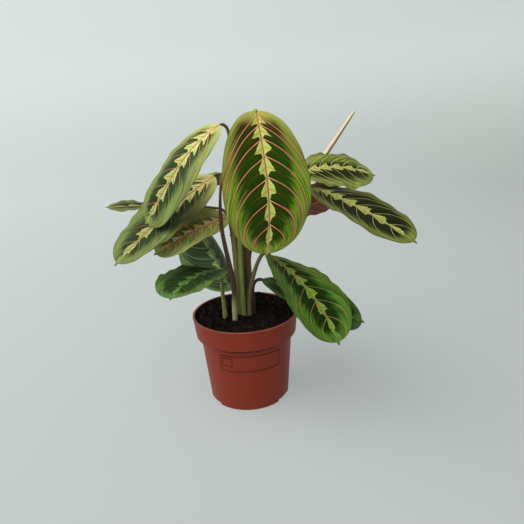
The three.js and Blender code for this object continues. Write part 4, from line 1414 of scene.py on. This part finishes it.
# %% [markdown]
# Water leaves the pot through six holes in the floor, and from under it through three gaps in the
# foot. They aren't round the axis, so the profile can't hold them. They are cut instead: each is a
# simple closed body, placed by a loop and taken out for good, so that a plain mesh is left.

# %% Drain holes and foot gaps
def upright_body(name, outline, low, high):
    """A closed body with an outline in plan, from one height to another."""
    count = len(outline)
    points = [(x, y, z) for z in (low, high) for x, y in outline]
    faces = [tuple(range(count))[::-1], tuple(range(count, 2 * count))]
    faces += [(k, (k + 1) % count, count + (k + 1) % count, count + k) for k in range(count)]
    return mesh_object(name, points, faces)


def foot_gap(angle):
    """A wedge under the foot ring: where it stands, water runs out."""
    inner, outer = FOOT_CHANNEL[1] - 1, POT_BASE_RADIUS + 2
    turn = np.radians(angle + np.linspace(-FOOT_GAP_WIDTH / 2, FOOT_GAP_WIDTH / 2, 9))
    outline = [(outer * math.cos(a), outer * math.sin(a)) for a in turn]
    outline += [(inner * math.cos(a), inner * math.sin(a)) for a in turn[::-1]]
    return upright_body(f"foot_gap_{angle}", outline, -1, FOOT_CHANNEL[2])


def drain_hole(number):
    """A round bar through the floor."""
    turn = number * 2 * math.pi / HOLE_COUNT
    x, y = HOLE_CIRCLE * math.cos(turn), HOLE_CIRCLE * math.sin(turn)
    sides = around(ROUND_SIDES)
    outline = [(x + HOLE_RADIUS * math.cos(a), y + HOLE_RADIUS * math.sin(a)) for a in sides]
    return upright_body(f"drain_hole_{number}", outline, -2, POT_FLOOR + 4)  # well past both sides


def face_outwards(piece):
    """Merges doubles and turns every face of a closed mesh outwards."""
    shape = bmesh.new()
    shape.from_mesh(piece.data)
    bmesh.ops.remove_doubles(shape, verts=shape.verts, dist=0.002 * MM)
    bmesh.ops.recalc_face_normals(shape, faces=shape.faces)
    shape.to_mesh(piece.data)
    shape.free()


def cut(piece, tool):
    """Takes one body out of another for good and deletes it."""
    modifier = piece.modifiers.new("cut", "BOOLEAN")
    modifier.object = tool
    modifier.operation = "DIFFERENCE"
    modifier.solver = "EXACT"
    keep_result(piece)
    bpy.data.objects.remove(tool)


face_outwards(pot)
for angle in FOOT_GAPS:
    cut(pot, foot_gap(angle))
for number in range(HOLE_COUNT):
    cut(pot, drain_hole(number))
pot.data.shade_smooth()
pot.data.set_sharp_from_angle(angle=POT_CREASE)
print("pot:", len(pot.data.polygons), "faces")

# %% [markdown]
# The plastic is polypropylene in a terracotta colour, moulded with a fine satin texture. It is
# slightly cloudy from handling and faintly streaked by water. Its rim has a painted highlight, and
# a painted shadow darkens the wall just under the band. Noise and height on the object's own
# coordinates give all of that without a picture.

# %% Pot plastic
# Heights where a mark begins and where it is full: the painted shadow under the band, and the
# painted highlight on the rim.
BAND_SHADOW_STARTS = (74.2 * MM, 76.0 * MM)
BAND_SHADOW_ENDS = (79.4 * MM, 79.0 * MM)
RIM_HIGHLIGHT = (101.2 * MM, 101.8 * MM)
WATER_RUNS = (per(1.4), per(1.4), per(33))  # streaks that water leaves: 1.4 mm wide, 33 mm long
POLYPROPYLENE_IOR = 1.49


def pot_plastic():
    """Satin polypropylene: brown-red, cloudy, with faint upright streaks from watering."""
    material, put = start_material("satin_terracotta_polypropylene")
    place = put(PLACE).outputs["Object"]
    cloud = put(NOISE, {"Vector": place, "Scale": per(45), "Detail": 5.0, "Roughness": 0.6})
    # The grains of the mould's spark texture, about 0.1 mm, are too fine to show: 0.6 mm is drawn.
    grain = put(NOISE, {"Vector": place, "Scale": per(0.62), "Detail": 2.0})
    drawn = put(MAPPING, {"Vector": place, "Scale": WATER_RUNS})
    streak = put(NOISE, {"Vector": drawn, "Scale": 1.0})
    clay = put(BLEND, (cloud, "#7B2510", "#852C16"))
    faint = put(RANGE, (streak, 0.45, 0.8, 0, 0.15))
    worn = put(BLEND, (faint, clay, "#86391F"))
    height = put(SEPARATE, (place,)).outputs["Z"]
    # Painted shadow: the wall just under the band is darkened, where the band's shade falls.
    corner = put(SMOOTH, (height, *BAND_SHADOW_STARTS, 0, 0.9))
    wall = put(RANGE, (height, *BAND_SHADOW_ENDS))
    band_shadow = put(TIMES, (corner, wall))
    band_shadowed = put(BLEND, (band_shadow, worn, "#2C0C07"))
    # Painted highlight: the top of the rim is paler, where its rounded lip catches the light.
    edge = put(SMOOTH, (height, *RIM_HIGHLIGHT, 0, 0.5))
    rim_highlighted = put(BLEND, (edge, band_shadowed, "#A8604C"))
    rough = put(RANGE, (cloud, 0, 1, 0.4, 0.56))
    bump = put(BUMP, {"Height": grain, "Strength": 0.25, "Distance": 0.1 * MM})
    return end_material(material, {"Base Color": rim_highlighted, "Roughness": rough, "Normal": bump,
                                   "IOR": POLYPROPYLENE_IOR, "Specular IOR Level": 0.25})


plastic = pot_plastic()
pot.data.materials.clear()
pot.data.materials.append(plastic)
finish_piece(pot, "pot")
print("nodes of the pot's plastic:", len(plastic.node_tree.nodes))

# %% [markdown]
# On the front the mould has left a plain ruled panel with an empty square in it. Lines could be
# painted there, but real ones stand out and catch the light, so a thin bead is swept round each
# outline, which follows the round wall. The bead is coloured much darker than the wall.

# %% Ruled panel on the pot
PANEL_ANGLES = (-34, 44)  # degrees round from the front, to the right
PANEL_HEIGHTS = (51, 70)  # mm above the foot
SQUARE_ANGLES = (-31, -18)
SQUARE_HEIGHTS = (57.5, 67)
RULE_WIDTH = 0.8  # mm
BEAD_SIDES = 6
PANEL_STEPS = 40  # points along each level rule


def ruled_outline(angles, heights):
    """Points of a rectangle on the wall, walked round once."""
    low, high = heights
    sweep = np.radians(np.linspace(*angles, PANEL_STEPS))
    corners = [(a, low) for a in sweep] + [(a, high) for a in sweep[::-1]]
    return [(pot_radius(z) * math.sin(a), -pot_radius(z) * math.cos(a), z) for a, z in corners]


def rule_tree(material):
    """A thin bead swept round a closed outline."""
    tree, put, sizes = start_tree("moulded_rule", {"Bead radius": RULE_WIDTH / 2 * MM})
    outline = put(TO_CURVE, {"Mesh": sizes["Geometry"]})
    section = put(CIRCLE, {"Resolution": BEAD_SIDES, "Radius": sizes["Bead radius"]})
    bead = put(SWEEP, {"Curve": outline, "Profile Curve": section})
    return end_tree(tree, [(bead, material)])


def rule_finish():
    """The same plastic, coloured much darker than the wall."""
    material, put = start_material("dark_moulded_rule")
    place = put(PLACE).outputs["Object"]
    patch = put(NOISE, {"Vector": place, "Scale": per(3.3)})
    colour = put(BLEND, (patch, "#220906", "#301009"))
    return end_material(material, {"Base Color": colour, "Roughness": 0.6, "IOR": POLYPROPYLENE_IOR,
                                   "Specular IOR Level": 0.2})


rules = rule_tree(rule_finish())
for name, angles, heights in (("panel_rule", PANEL_ANGLES, PANEL_HEIGHTS),
                              ("square_rule", SQUARE_ANGLES, SQUARE_HEIGHTS)):
    rule = run_tree(path_object(name, ruled_outline(angles, heights), closed=True), rules)
    finish_piece(rule)
print("rules:", len(rule.data.polygons), "faces")
